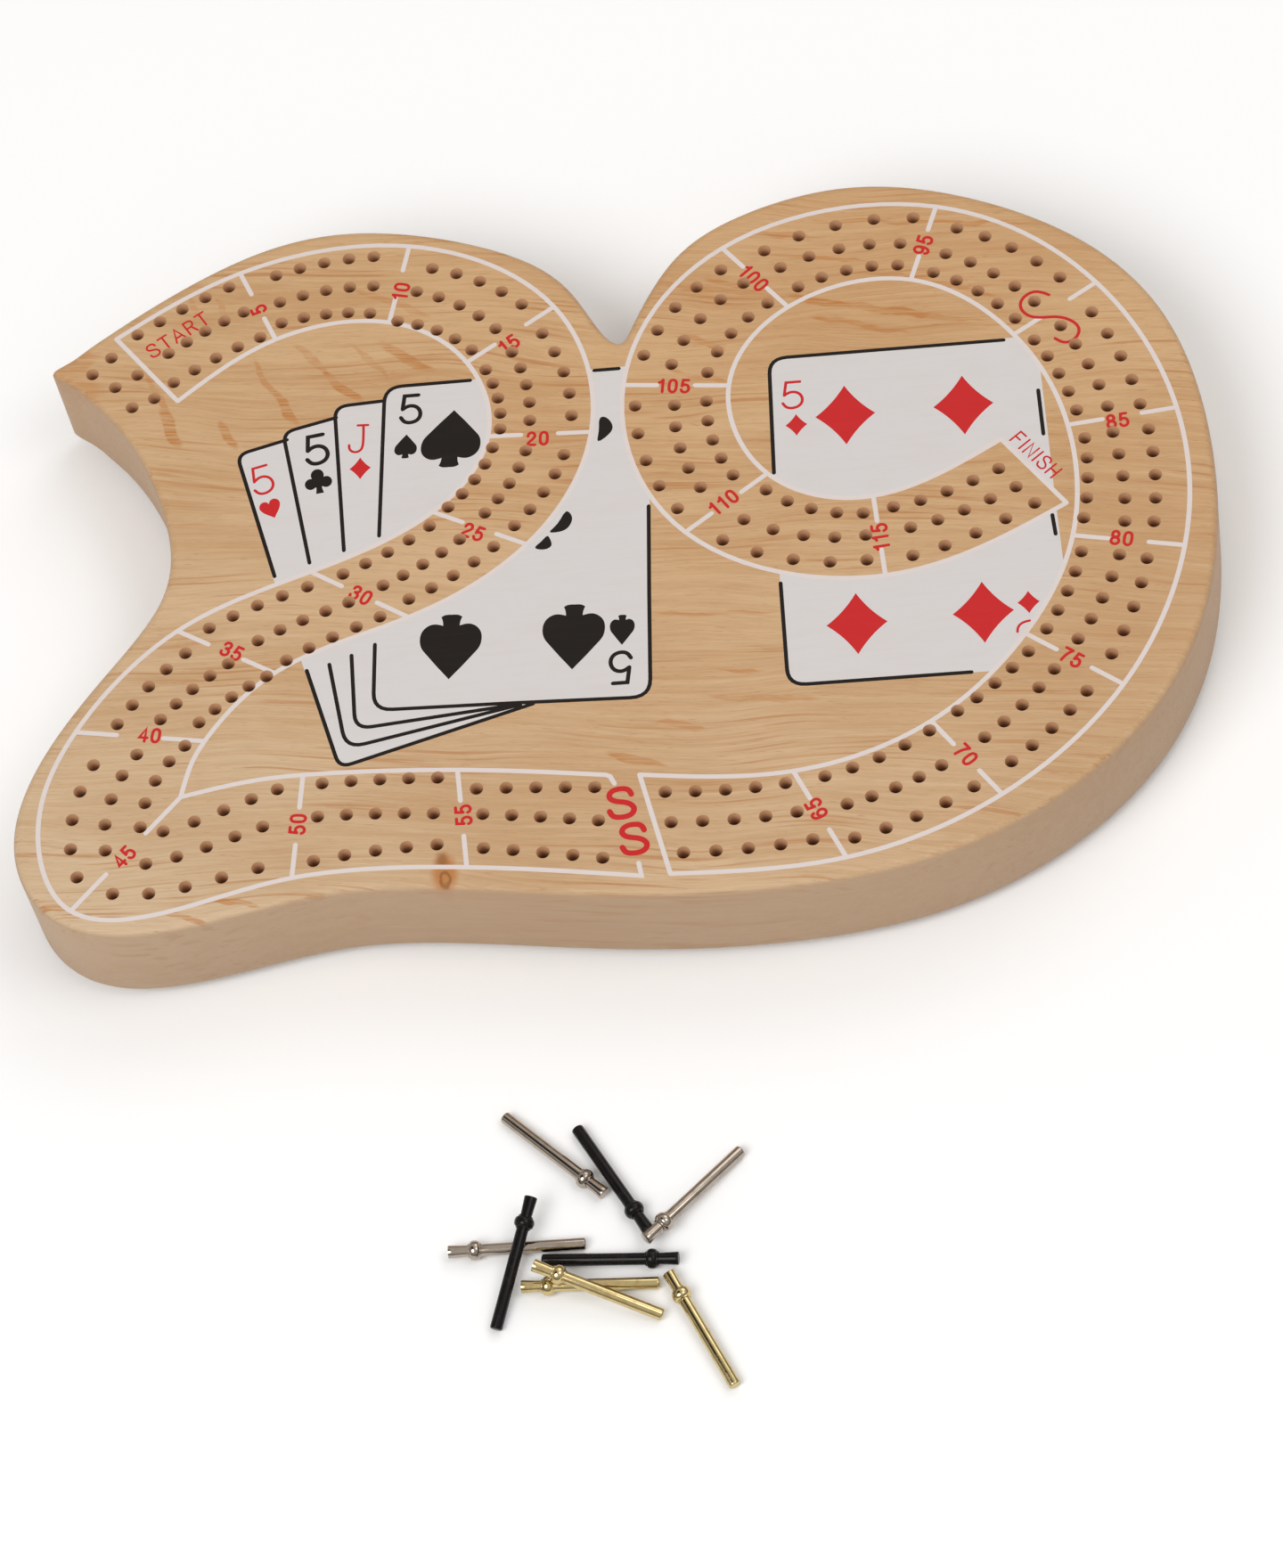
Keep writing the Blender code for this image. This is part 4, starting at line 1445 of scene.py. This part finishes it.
    def pocket_loop(self) -> np.ndarray:
        """The pocket's plan: a rectangle whose corners are quarter circles.

        Returns:
            The plan points, counter-clockwise.
        """
        x, y, width, length = self.pocket
        turns = np.radians(np.arange(0, 90 + self.pocket_step, self.pocket_step))
        arc = np.column_stack((np.cos(turns), np.sin(turns))) * self.pocket_corner
        corner = np.array((width / 2 - self.pocket_corner, length / 2 - self.pocket_corner))
        quarters = [
            arc + corner,
            (arc * (-1, 1))[::-1] + corner * (-1, 1),
            -arc - corner,
            (arc * (1, -1))[::-1] + corner * (1, -1),
        ]
        return np.vstack(quarters) + (x, y)

    def add_well(self, shell: Shell, loop: np.ndarray, ceiling: float) -> None:
        """Add a well cut upwards from the underside: a wall that faces inwards and a flat ceiling.

        Args:
            shell: the shell to add to.
            loop: the well's plan.
            ceiling: the height of its ceiling.
        """
        plan = loop + BOARD_CENTRE
        rings = np.array((lifted(plan, self.underside), lifted(plan, ceiling)))
        shell.add_stack(rings, 1, flip=True)
        shell.add(rings[1], np.arange(len(plan))[None, ::-1], 1)

    def add_holes(self, shell: Shell) -> None:
        """Add every drilled hole: a bevelled rim, a straight wall and a cone at the foot.

        Args:
            shell: the shell to add to.
        """
        radius = self.hole_radius + np.array((0, 0, self.hole_chamfer))
        height = np.array((self.hole_floor, self.top - self.hole_chamfer, self.top))
        unplaced = turned(radius, height, self.hole_sides)
        for x, y in self.centres + BOARD_CENTRE:
            rings = unplaced + (x, y, 0.0)
            shell.add_stack(rings[:2], 1, flip=True)
            shell.add_stack(rings[1:], 0, flip=True)
            shell.add_fan(rings[0], (x, y, self.hole_floor - self.drill_point), 1)

    def add_edge(self, shell: Shell) -> None:
        """Add the side: quarter circles at the underside and the top, and a straight wall between.

        Args:
            shell: the shell to add to.
        """
        low = np.radians(np.linspace(90, 0, self.bottom_steps + 1))
        high = np.radians(np.linspace(0, 90, self.top_steps + 1))
        bends = [(self.bottom_round, self.underside, 1, turn) for turn in low]
        bends += [(self.top_round, self.top, -1, turn) for turn in high]
        shell.add_stack(np.array([
            self.ring(self.inset + reach * (1 - math.cos(turn)),
                      face + way * reach * (1 - math.sin(turn)))
            for reach, face, way, turn in bends]))

    def build(self, finish: HardwoodFinish) -> None:
        """Make the board in place of its solid.

        Args:
            finish: the wood.
        """
        shell = Shell()
        self.add_edge(shell)
        plan, faces = tile_region([self.inner(self.inset + self.top_round)], self.rims())
        shell.add(lifted(plan + BOARD_CENTRE, self.top), faces)
        wells = [self.pocket_loop()]
        wells += [circle(place, self.pilot_radius, self.pilot_sides) for place in self.pilots]
        plan, faces = tile_region([self.inner(self.inset + self.bottom_round)], wells)
        shell.add(lifted(plan + BOARD_CENTRE, self.underside), faces[:, ::-1])
        self.add_holes(shell)
        for number, well in enumerate(wells):
            self.add_well(shell, well, self.pilot_ceiling if number else self.pocket_ceiling)
        tag = Tag("wooden_board", "board", Slot.WOOD, self.node)
        self.flatten(shell.piece(tag, [finish.material(), finish.bored()]).data)

    def flatten(self, mesh: bpy.types.Mesh) -> None:
        """Shade the top and the underside flat, so that the rounded edges don't tint them.

        Args:
            mesh: the board's mesh.
        """
        normals = np.empty(len(mesh.polygons) * 3)
        mesh.polygons.foreach_get("normal", normals)
        slope = np.abs(normals.reshape(-1, 3)[:, 2])
        mesh.polygons.foreach_set("use_smooth", slope < self.flatness)
        mesh.update()


# What the cards show: suit marks, parts of marks, indices, words and thin strokes
BLACK_PIPS = (
    Pip(Suit.SPADE, (-38.9, 32.2), 16.0, 0.905, -1, 0.075),
    Pip(Suit.SPADE, (-50.0, 31.0), 6.7, 0.815, -1, 0.04),
    Pip(Suit.SPADE, (-39.5, -25.5), 17.5, 0.845, 177),
    Pip(Suit.SPADE, (-10.2, -25.3), 17.6, 0.845, 177),
    Pip(Suit.SPADE, (1.4, -24.4), 8.15, 0.725, 178),
    Pip(Suit.CLUB, (-71.3, 23.1), 6.9, 0.92, 8),
)
PIP_PARTS = (
    ((-3.4, 28.2), (-3.2, 31), (-2.9, 34.5), (-2, 35), (-0.6, 34), (0.2, 31.9), (-0.8, 29.9)),
    ((-15.4, 3.9), (-13.6, 6), (-11.4, 9.3), (-10.4, 8.6), (-10, 6.9), (-11, 4.8), (-13, 3.8)),
    ((-19, -0.1), (-17.6, 1.4), (-16, 2.9), (-15.3, 1.8), (-15.1, 0.1), (-17, -0.8)),
)
BLACK_INDICES = (
    Lettering("5", (-71.8, 32.1), 8, 9.1, 1.05, wide=1.22),
    Lettering("5", (-48.8, 41.5), 0, 8.8, 1.0, wide=1.17),
    Lettering("5", (0.9, -34.6), 180, 9.5, 1.0, wide=1.10),
)
RED_WORDS = (
    Lettering("START", (-106.3, 68.1), 33, 4.3, 0.48, gap=0.18, wide=1.12),
    Lettering("FINISH", (101.0, 14.9), -51, 4.05, 0.45, gap=0.14, wide=1.12),
    Lettering("S", (0.2, -70.6), 5, 8.5, 1.35, wide=1.35),
    Lettering("S", (3.0, -80.2), 5, 8.5, 1.35, wide=1.35),
    Lettering("5", (-85.0, 24.7), 14, 8.8, 0.68, wide=1.16),
    Lettering("5", (43.7, 36.9), 0, 8.4, 0.70, wide=1.22),
)
RED_STROKES = (
    (0.76, ((106.5, 59.5), (103, 60.7), (100, 58.8), (99.7, 56), (102, 53.7), (106, 53.2),
            (110, 52.5), (113.1, 49.5), (112, 46.5), (109.5, 45.7), (107.3, 47))),
    (0.62, ((-60.3, 37.9), (-60.4, 33), (-61, 31), (-62.4, 30.5), (-63.6, 31.3), (-63.8, 32.6))),
    (0.62, ((-61.7, 38), (-59.2, 37.9))),
    (0.60, ((97.2, -30.2), (95.6, -30.6), (94.5, -31.6), (94.2, -33))),
)
RED_PIPS = (
    Pip(Suit.HEART, (-82.7, 16.3), 5.1, 1.0, 20),
    Pip(Suit.DIAMOND, (-61.1, 25.8), 6.1, 0.85),
    *(Pip(Suit.DIAMOND, middle, 16.5, 0.87)
      for middle in ((56.2, 30.1), (84.5, 30.3), (56.8, -27.5), (86.5, -27.0))),
    *(Pip(Suit.DIAMOND, middle, 6.0, 0.87) for middle in ((44.4, 28.4), (97.2, -25.2))),
)


@dataclass
class PrintedFace:
    """The screen print on the board's top, one thin piece for each ink."""

    board: WoodenBoard
    borders: TrackBorders
    foot: float = 0.012
    margin: float = 2.0
    edge_width: float = 0.95
    numeral_height: float = 3.95
    numeral_stroke: float = 0.72

    def layer(self, name: str, layer: InkLayer, inside: list[np.ndarray],
              outside: list[np.ndarray], finish: InkFinish) -> None:
        """Make one layer of ink, a closed slab that leaves the holes bare.

        Args:
            name: the piece's name.
            layer: which layer it is.
            inside: the loops that the ink fills.
            outside: the loops that it leaves bare, apart from the holes.
            finish: the ink.
        """
        reach = np.vstack(inside)
        low, high = reach.min(axis=0) - self.margin, reach.max(axis=0) + self.margin
        rims = [rim for rim in self.board.rims() if np.all((rim[0] > low) & (rim[0] < high))]
        plan, faces = tile_region(inside, outside + rims)
        top = self.board.top
        shell = Shell()
        sheet = (plan + BOARD_CENTRE, faces)
        shell.add(*raise_sheet(sheet, top - self.foot, top + layer.value))
        shell.piece(Tag(name, "board", Slot.WOOD), [finish.material()])

    def black_marks(self) -> list[np.ndarray]:
        """The cards' edges, the spades, the club and the black indices.

        Returns:
            The closed loops.
        """
        loops = [ribbon(rounded(edge), self.edge_width) for edge in CARD_EDGES]
        loops += [loop for pip in BLACK_PIPS for loop in pip.loops()]
        loops += [smooth_curve(part, MARK_STEPS, closed=True) for part in PIP_PARTS]
        return loops + [loop for index in BLACK_INDICES for loop in index.loops()]

    def red_marks(self) -> list[np.ndarray]:
        """The numbers, the two words, the S marks, the diamonds, the heart and the red indices.

        Returns:
            The closed loops.
        """
        loops = []
        for text, *middle, angle in LABELS:
            loops += Lettering(
                text, tuple(middle), angle, self.numeral_height, self.numeral_stroke).loops()
        loops += [loop for word in RED_WORDS for loop in word.loops()]
        for width, path in RED_STROKES:
            path = smooth_curve(path, LETTER_STEPS) if len(path) > 2 else path
            loops.append(ribbon(path, width))
        return loops + [loop for pip in RED_PIPS for loop in pip.loops()]

    def build(self) -> None:
        """Make the card ground, the black and red figures and the white lines."""
        grounds = [rounded(FAN_GROUND, closed=True), rounded(DIAMOND_GROUND, closed=True)]
        layers = (
            ("printed_card_ground", InkLayer.CARD, grounds, self.borders.bands(), InkFinish(
                "white_card_ink", linear(211, 206, 205), linear(203, 195, 188))),
            ("printed_black_figures", InkLayer.BLACK, self.black_marks(), [], InkFinish(
                "black_figure_ink", linear(33, 28, 25), linear(46, 40, 35), 0.45)),
            ("printed_red_figures", InkLayer.RED, self.red_marks(), [], InkFinish(
                "red_figure_ink", linear(198, 42, 43), linear(193, 58, 54))),
            ("printed_white_lines", InkLayer.LINE, self.borders.lines(), [], InkFinish(
                "white_line_ink", linear(219, 208, 204), linear(208, 190, 176))),
        )
        for layer in layers:
            self.layer(*layer)


@dataclass
class TurnedPeg:
    """One peg: a tapered shaft, a beaded collar between two rings, and a flared head."""

    node: str
    slot: Slot
    length: float = 31.75
    sides: int = 40
    inset: float = 0.06
    tip_radius: float = 1.44
    tip_round: float = 0.45
    neck_radius: float = 1.41
    neck_gap: float = 0.02
    bead_place: float = 25.6
    bead_radius: float = 2.33
    bead_half: float = 1.18
    ring_radius: float = 1.69
    ring_width: float = 0.35
    ring_bevel: float = 0.06
    ring_step: float = 0.03
    waist_radius: float = 1.34
    head_radius: float = 1.52
    head_bevel: float = 0.2
    head_rim: tuple[Plan, ...] = ((0.05, 0.04), (0.0, 0.15))
    flare: float = 1.3
    sharp: float = 34.0

    def profile(self) -> np.ndarray:
        """The distances from the tip and the radii: arcs at the tip, the bead and the head.

        The tip's arc is r (1 - cos t), R - r (1 - sin t), the bead's radius goes as the root of
        1 - s^2, the head's as s^1.3, and straight runs lie between them.

        Returns:
            An array of (distance, radius), from the tip to the head.
        """
        turns = np.radians(np.linspace(0, 90, 5))
        tip = np.column_stack((
            self.inset + self.tip_round * (1 - np.cos(turns)),
            self.tip_radius - self.tip_round * (1 - np.sin(turns))))
        low, high = self.bead_place - self.bead_half, self.bead_place + self.bead_half
        foot, crown = low - self.ring_width, high + self.ring_width
        swing = np.linspace(-1, 1, 13)[1:-1]
        swell = (self.bead_radius - self.ring_radius) * np.sqrt(1 - swing ** 2)
        bead = np.column_stack((self.bead_place + self.bead_half * swing, self.ring_radius + swell))
        share = np.linspace(0, 1, 6)
        head = np.column_stack((
            crown + (self.length - self.head_bevel - crown) * share,
            self.waist_radius + (self.head_radius - self.waist_radius) * share ** self.flare))
        bevelled = self.ring_radius - self.ring_bevel
        return np.vstack((
            tip,
            (foot - self.neck_gap, self.neck_radius),
            (foot, bevelled),
            (foot + self.ring_bevel, self.ring_radius),
            (low - self.ring_step, self.ring_radius),
            bead,
            (high + self.ring_step, self.ring_radius),
            (crown - self.ring_bevel, self.ring_radius),
            (crown, bevelled),
            head,
            np.array((self.length, self.head_radius)) - self.head_rim,
        ))

    def place(self, frame: dict) -> tuple[np.ndarray, np.ndarray]:
        """The tip and the direction of the peg, from its solid.

        The axis is the longest direction of its corners, and the bead tells the head from the tip.

        Args:
            frame: the loaded frame.

        Returns:
            The tip and the unit direction towards the head, in millimetres.
        """
        corners, _ = corners_of(frame["nodes"][self.node], 4)
        middle = corners.mean(axis=0)
        axis = np.linalg.svd(corners - middle, full_matrices=False)[2][0]
        along = (corners - middle) @ axis
        widest = np.argmax(np.linalg.norm(corners - middle - along[:, None] * axis, axis=1))
        if along[widest] < (along.min() + along.max()) / 2:
            axis, along = -axis, -along
        return middle + axis * along.min(), axis

    def unwrap(self, distance: np.ndarray) -> np.ndarray:
        """The peg's own map: the share of a turn one way and of the length the other.

        Args:
            distance: how far each ring lies from the tip.

        Returns:
            One row for each corner of each face, in the order of the faces.
        """
        turn = np.arange(self.sides + 1) / self.sides
        across, up = np.meshgrid(turn, distance / self.length)
        spots = np.stack((across, up), axis=2)
        quads = np.stack((spots[:-1, :-1], spots[:-1, 1:], spots[1:, 1:], spots[1:, :-1]), axis=2)
        ends = np.zeros((2, self.sides, 3, 2))
        ends[..., 0] = turn[:-1, None]
        ends[1, ..., 1] = 1.0
        return np.vstack((quads.reshape(-1, 2), ends.reshape(-1, 2)))

    def build(self, frame: dict, metal: Material) -> None:
        """Make the peg: p + d a + r (u cos t + v sin t) over distance and turn.

        Args:
            frame: the loaded frame.
            metal: its metal.
        """
        tip, axis = self.place(frame)
        basis = np.array(Vector(axis).to_track_quat("Z", "Y").to_matrix())
        distance, radius = self.profile().T
        shell = Shell()
        shell.add_turned(turned(radius, distance, self.sides) @ basis.T + tip)
        tag = Tag(f"{self.node}_turned", self.node, self.slot, self.node)
        shell.piece(tag, [metal], self.sharp, self.unwrap(distance))


@dataclass
class PegHeap:
    """The nine pegs, three of each metal."""

    count: int = 3

    def build(self, frame: dict) -> None:
        """Make every peg where its solid lies.

        Args:
            frame: the loaded frame.
        """
        kinds = {
            "silver": (Slot.NICKEL, TurnedMetalFinish(
                "nickel_silver_turned", (0.44, 0.375, 0.315), (0.26, 0.21, 0.165), 1.0, 0.10)),
            "black": (Slot.BLACK, TurnedMetalFinish(
                "black_metal_turned", (0.006, 0.005, 0.005), (0.014, 0.01, 0.009), 0.0, 0.20,
                0.20)),
            "gold": (Slot.BRASS, TurnedMetalFinish(
                "polished_brass_turned", (0.63, 0.50, 0.25), (0.37, 0.275, 0.105), 1.0, 0.10)),
        }
        for kind, (slot, finish) in kinds.items():
            metal = finish.material()
            for number in range(1, self.count + 1):
                TurnedPeg(f"{kind}_peg_{number}", slot).build(frame, metal)


@dataclass
class CrossScrew:
    """One pan-head screw with a cross recess, which faces down."""

    node: str
    turn: float
    face: float = 0.72
    hub: float = 0.06
    dome: float = 0.34
    dome_radius: float = 2.25
    arm: float = 1.35
    arm_half: float = 0.27
    recess: float = 0.66
    slope: float = 0.10
    sides: int = 180
    face_rings: int = 64
    sharp: float = 40.0
    rim: tuple[Plan, ...] = (
        (2.42, 1.14), (2.53, 1.27), (2.57, 1.45), (2.56, 1.60), (2.50, 1.69), (1.17, 1.69),
        (1.17, 12.0), (0.85, 12.4))

    def bar(self, along: np.ndarray, across: np.ndarray) -> np.ndarray:
        """One smooth bar of the cross: 1 within it and 0 outside, with a slope at its edges."""
        ends = np.clip((self.arm - np.abs(along)) / self.slope, 0, 1)
        return ends * np.clip((self.arm_half - np.abs(across)) / self.slope + 0.5, 0, 1)

    def rings(self) -> np.ndarray:
        """The rings of the screw: a paraboloid less a cross, then the rim and the shank.

        The face is z = face + dome (r / R)^2 + recess m (1 - r / 2 arm), where m is the larger of
        two smooth bars that cross at right angles.

        Returns:
            An array of rings.
        """
        turns = 2 * np.pi * np.arange(self.sides) / self.sides - math.radians(self.turn)
        radius = np.linspace(self.hub, self.dome_radius, self.face_rings)[:, None]
        along, across = radius * np.cos(turns), radius * np.sin(turns)
        mark = np.maximum(self.bar(along, across), self.bar(across, along))
        height = self.face + self.dome * (radius / self.dome_radius) ** 2
        height = height + self.recess * mark * (1 - radius / (2 * self.arm))
        rim = np.repeat(np.array(self.rim)[:, None], self.sides, axis=1)
        radius = np.vstack((np.repeat(radius, self.sides, axis=1), rim[..., 0]))
        return turned(radius, np.vstack((height, rim[..., 1])), self.sides)

    def build(self, steel: Material) -> None:
        """Make the screw where its solid stands.

        Args:
            steel: the plated steel.
        """
        shell = Shell()
        shell.add_turned(self.rings() + middle_of(self.node))
        tag = Tag(f"{self.node}_turned", "board", Slot.STEEL, self.node)
        shell.piece(tag, [steel], self.sharp)


@dataclass
class SlottedPlate:
    """The thin plate that swings about one screw and hooks on the other by a curved slot."""

    node: str = "storage_plate"
    pivot: str = "plate_pivot_screw"
    low: float = 2.0
    high: float = 3.2
    width: float = 32.96
    length: float = 61.96
    corner: float = 8.0
    corner_steps: int = 16
    reach: float = 50.0
    slot_half: float = 1.8
    slot_steps: int = 24
    bore: float = 1.5
    bore_sides: int = 48

    def outline(self) -> np.ndarray:
        """The plate's rounded rectangle about its pivot: quarter circles joined by straight lines.

        Returns:
            The plan points, counter-clockwise.
        """
        quarter = np.linspace(0, np.pi / 2, self.corner_steps + 1)
        inner = np.array((self.width / 2 - self.corner, self.length / 2 - self.corner))
        arcs = []
        for number, way in enumerate(((1, 1), (-1, 1), (-1, -1), (1, -1))):
            turns = quarter + number * np.pi / 2
            arcs.append(inner * way + self.corner * np.column_stack((np.cos(turns), np.sin(turns))))
        return np.vstack(arcs) - (0.0, self.reach / 2)

    def slot(self) -> np.ndarray:
        """The slot: a band along the circle about the pivot through the catch, with a round nose.

        Returns:
            The plan points.
        """
        turns = np.linspace(0, -self.width / self.reach, self.slot_steps + 1)
        spokes = np.column_stack((np.sin(turns), -np.cos(turns)))
        bend = np.linspace(np.pi / 2, -np.pi / 2, self.corner_steps + 1)[1:-1]
        nose = self.slot_half * np.column_stack((np.cos(bend), np.sin(bend))) - (0.0, self.reach)
        return np.vstack((
            spokes[::-1] * (self.reach - self.slot_half), nose,
            spokes * (self.reach + self.slot_half)))

    def build(self, steel: Material) -> None:
        """Make the plate.

        Args:
            steel: the plated steel.
        """
        bore = circle((0.0, 0.0), self.bore, self.bore_sides)
        plan, faces = tile_region([self.outline()], [self.slot(), bore])
        shell = Shell()
        shell.add(*raise_sheet((plan + middle_of(self.pivot)[:2], faces), self.low, self.high))
        shell.piece(Tag(f"{self.node}_cut", self.node, Slot.STEEL, self.node), [steel])


@dataclass
class StorageCover:
    """The plate over the pocket, with its two screws and the turn of each in degrees."""

    screws: tuple[tuple[str, float], ...] = (
        ("plate_pivot_screw", 24.0), ("plate_catch_screw", 61.0))

    def build(self, finish: BrushedPlateFinish) -> None:
        """Make the plate and the screws.

        Args:
            finish: the plated steel.
        """
        steel = finish.material()
        SlottedPlate().build(steel)
        for node, turn in self.screws:
            CrossScrew(node, turn).build(steel)


@dataclass
class RubberFeet:
    """The five tapered rubber feet, each with a shallow dimple in its flat foot."""

    count: int = 5
    sides: int = 48
    sharp: float = 50.0
    profile: tuple[Plan, ...] = (
        (0.10, 0.55), (1.20, 0.55), (1.42, 0.46), (1.58, 0.20), (1.74, 0.05), (1.95, 0.0),
        (3.30, 0.0), (3.58, 0.05), (3.82, 0.19), (3.98, 0.40), (4.12, 0.62), (4.88, 2.96),
        (4.88, 3.06), (4.96, 3.10), (4.96, 3.18))

    def build(self, finish: MouldedRubberFinish) -> None:
        """Make each foot: its profile carried round its own middle.

        Args:
            finish: the rubber.
        """
        rubber = finish.material()
        rings = turned(*np.array(self.profile).T, self.sides)
        for number in range(1, self.count + 1):
            node = f"rubber_foot_{number}"
            shell = Shell()
            shell.add_turned(rings + middle_of(node))
            tag = Tag(f"{node}_moulded", "board", Slot.RUBBER, node)
            shell.piece(tag, [rubber], self.sharp)


@dataclass
class Studio:
    """A white paper floor, soft light and the camera at the photograph's angle."""

    azimuth: float = 10.8
    elevation: float = 61.06
    roll: float = 13.67
    focal_pixels: float = 6670.0
    image_height: float = 1760.0
    sensor: float = 36.0
    clip: tuple[float, float] = (0.05, 60.0)
    place: Colour = (0.13033, -0.66720, 1.23978)
    floor_half: float = 6.0
    lamps: tuple[tuple[str, Colour, float, float], ...] = (
        ("front_lamp", (-0.80, -1.00, 1.75), 1.3, 20.5),
        ("right_lamp", (0.95, -0.15, 1.75), 0.9, 5.0),
        ("back_lamp", (0.70, 1.15, 1.45), 1.2, 4.5))
    glow: Colour = (1.0, 0.975, 0.945)
    sky: tuple[float, ...] = (0.10, 0.70, 0.20, 0.68)
    dark_patch: Colour = (-0.472, 0.109, 0.875)
    dark_share: tuple[float, ...] = (0.90, 0.97, 1.0, 0.05)

    def hang(self, name: str, data: bpy.types.ID) -> Piece:
        """Put an object with this data in the scene.

        Args:
            name: its name.
            data: its data.

        Returns:
            The object.
        """
        item = bpy.data.objects.new(name, data)
        bpy.context.scene.collection.objects.link(item)
        return item

    def build_camera(self) -> None:
        """Put the camera at its place, turned by its azimuth, elevation and roll."""
        data = bpy.data.cameras.new("studio_camera")
        data.sensor_fit = "AUTO"
        data.sensor_width = self.sensor
        data.lens = self.sensor * self.focal_pixels / self.image_height
        data.clip_start, data.clip_end = self.clip
        round_z, lift, roll = (
            math.radians(angle) for angle in (self.azimuth, self.elevation, self.roll))
        level = Vector((math.cos(round_z), math.sin(round_z), 0.0))
        away = Vector((math.sin(round_z), -math.cos(round_z), 0.0))
        back = away * math.cos(lift) + Vector((0.0, 0.0, math.sin(lift)))
        rise = back.cross(level)
        right = level * math.cos(roll) - rise * math.sin(roll)
        up = rise * math.cos(roll) + level * math.sin(roll)
        camera = self.hang("studio_camera", data)
        turn = Matrix((right, up, back)).transposed().to_4x4()
        camera.matrix_world = Matrix.Translation(self.place) @ turn
        bpy.context.scene.camera = camera

    def build_floor(self) -> None:
        """Lay the floor."""
        half = self.floor_half
        corners = [(-half, -half, 0), (half, -half, 0), (half, half, 0), (-half, half, 0)]
        mesh = bpy.data.meshes.new("studio_floor")
        mesh.from_pydata(corners, [], [(0, 1, 2, 3)])
        mesh.materials.append(PaperFloorFinish().material())
        self.hang("studio_floor", mesh)

    def build_lamps(self) -> None:
        """Hang one large soft lamp in front and to the left, and weaker ones right and behind."""
        for name, spot, size, power in self.lamps:
            data = bpy.data.lights.new(name, "AREA")
            data.shape = "DISK"
            data.size = size
            data.energy = power
            turn = Vector(spot).to_track_quat("Z", "Y").to_matrix().to_4x4()
            self.hang(name, data).matrix_world = Matrix.Translation(spot) @ turn

    def build_world(self) -> None:
        """Soft light from all round, weak at the horizon and in one patch high on the left."""
        world = bpy.data.worlds.new("studio_world")
        bpy.context.scene.world = world
        world.use_nodes = True
        world.node_tree.nodes.clear()
        sheet = NodeSheet(world.node_tree, "Generated")
        sky = sheet.window(sheet.coordinate("Z", sheet.place), *self.sky, smooth=False)
        near = sheet.node(
            "ShaderNodeVectorMath", {0: sheet.place, 1: self.dark_patch}, operation="DOT_PRODUCT")
        shade = sheet.window(near.outputs["Value"], *self.dark_share, smooth=False)
        light = {"Color": (*self.glow, 1.0), "Strength": sheet.times(sky, shade)}
        glow = sheet.node("ShaderNodeBackground", light).outputs[0]
        sheet.node("ShaderNodeOutputWorld", {"Surface": glow})

    def build(self) -> None:
        """Set up the whole studio."""
        self.build_camera()
        self.build_floor()
        self.build_lamps()
        self.build_world()
        bpy.context.scene.view_settings.view_transform = "Standard"


def main() -> None:
    """Build the looks on the frame, in order."""
    logging.basicConfig(level=logging.INFO, format="%(name)s: %(message)s")
    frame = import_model()
    Studio().build()
    board = WoodenBoard()
    board.read_frame(frame)
    board.build(HardwoodFinish())
    PrintedFace(board, TrackBorders()).build()
    PegHeap().build(frame)
    StorageCover().build(BrushedPlateFinish())
    RubberFeet().build(MouldedRubberFinish())


if __name__ == "__main__":
    main()
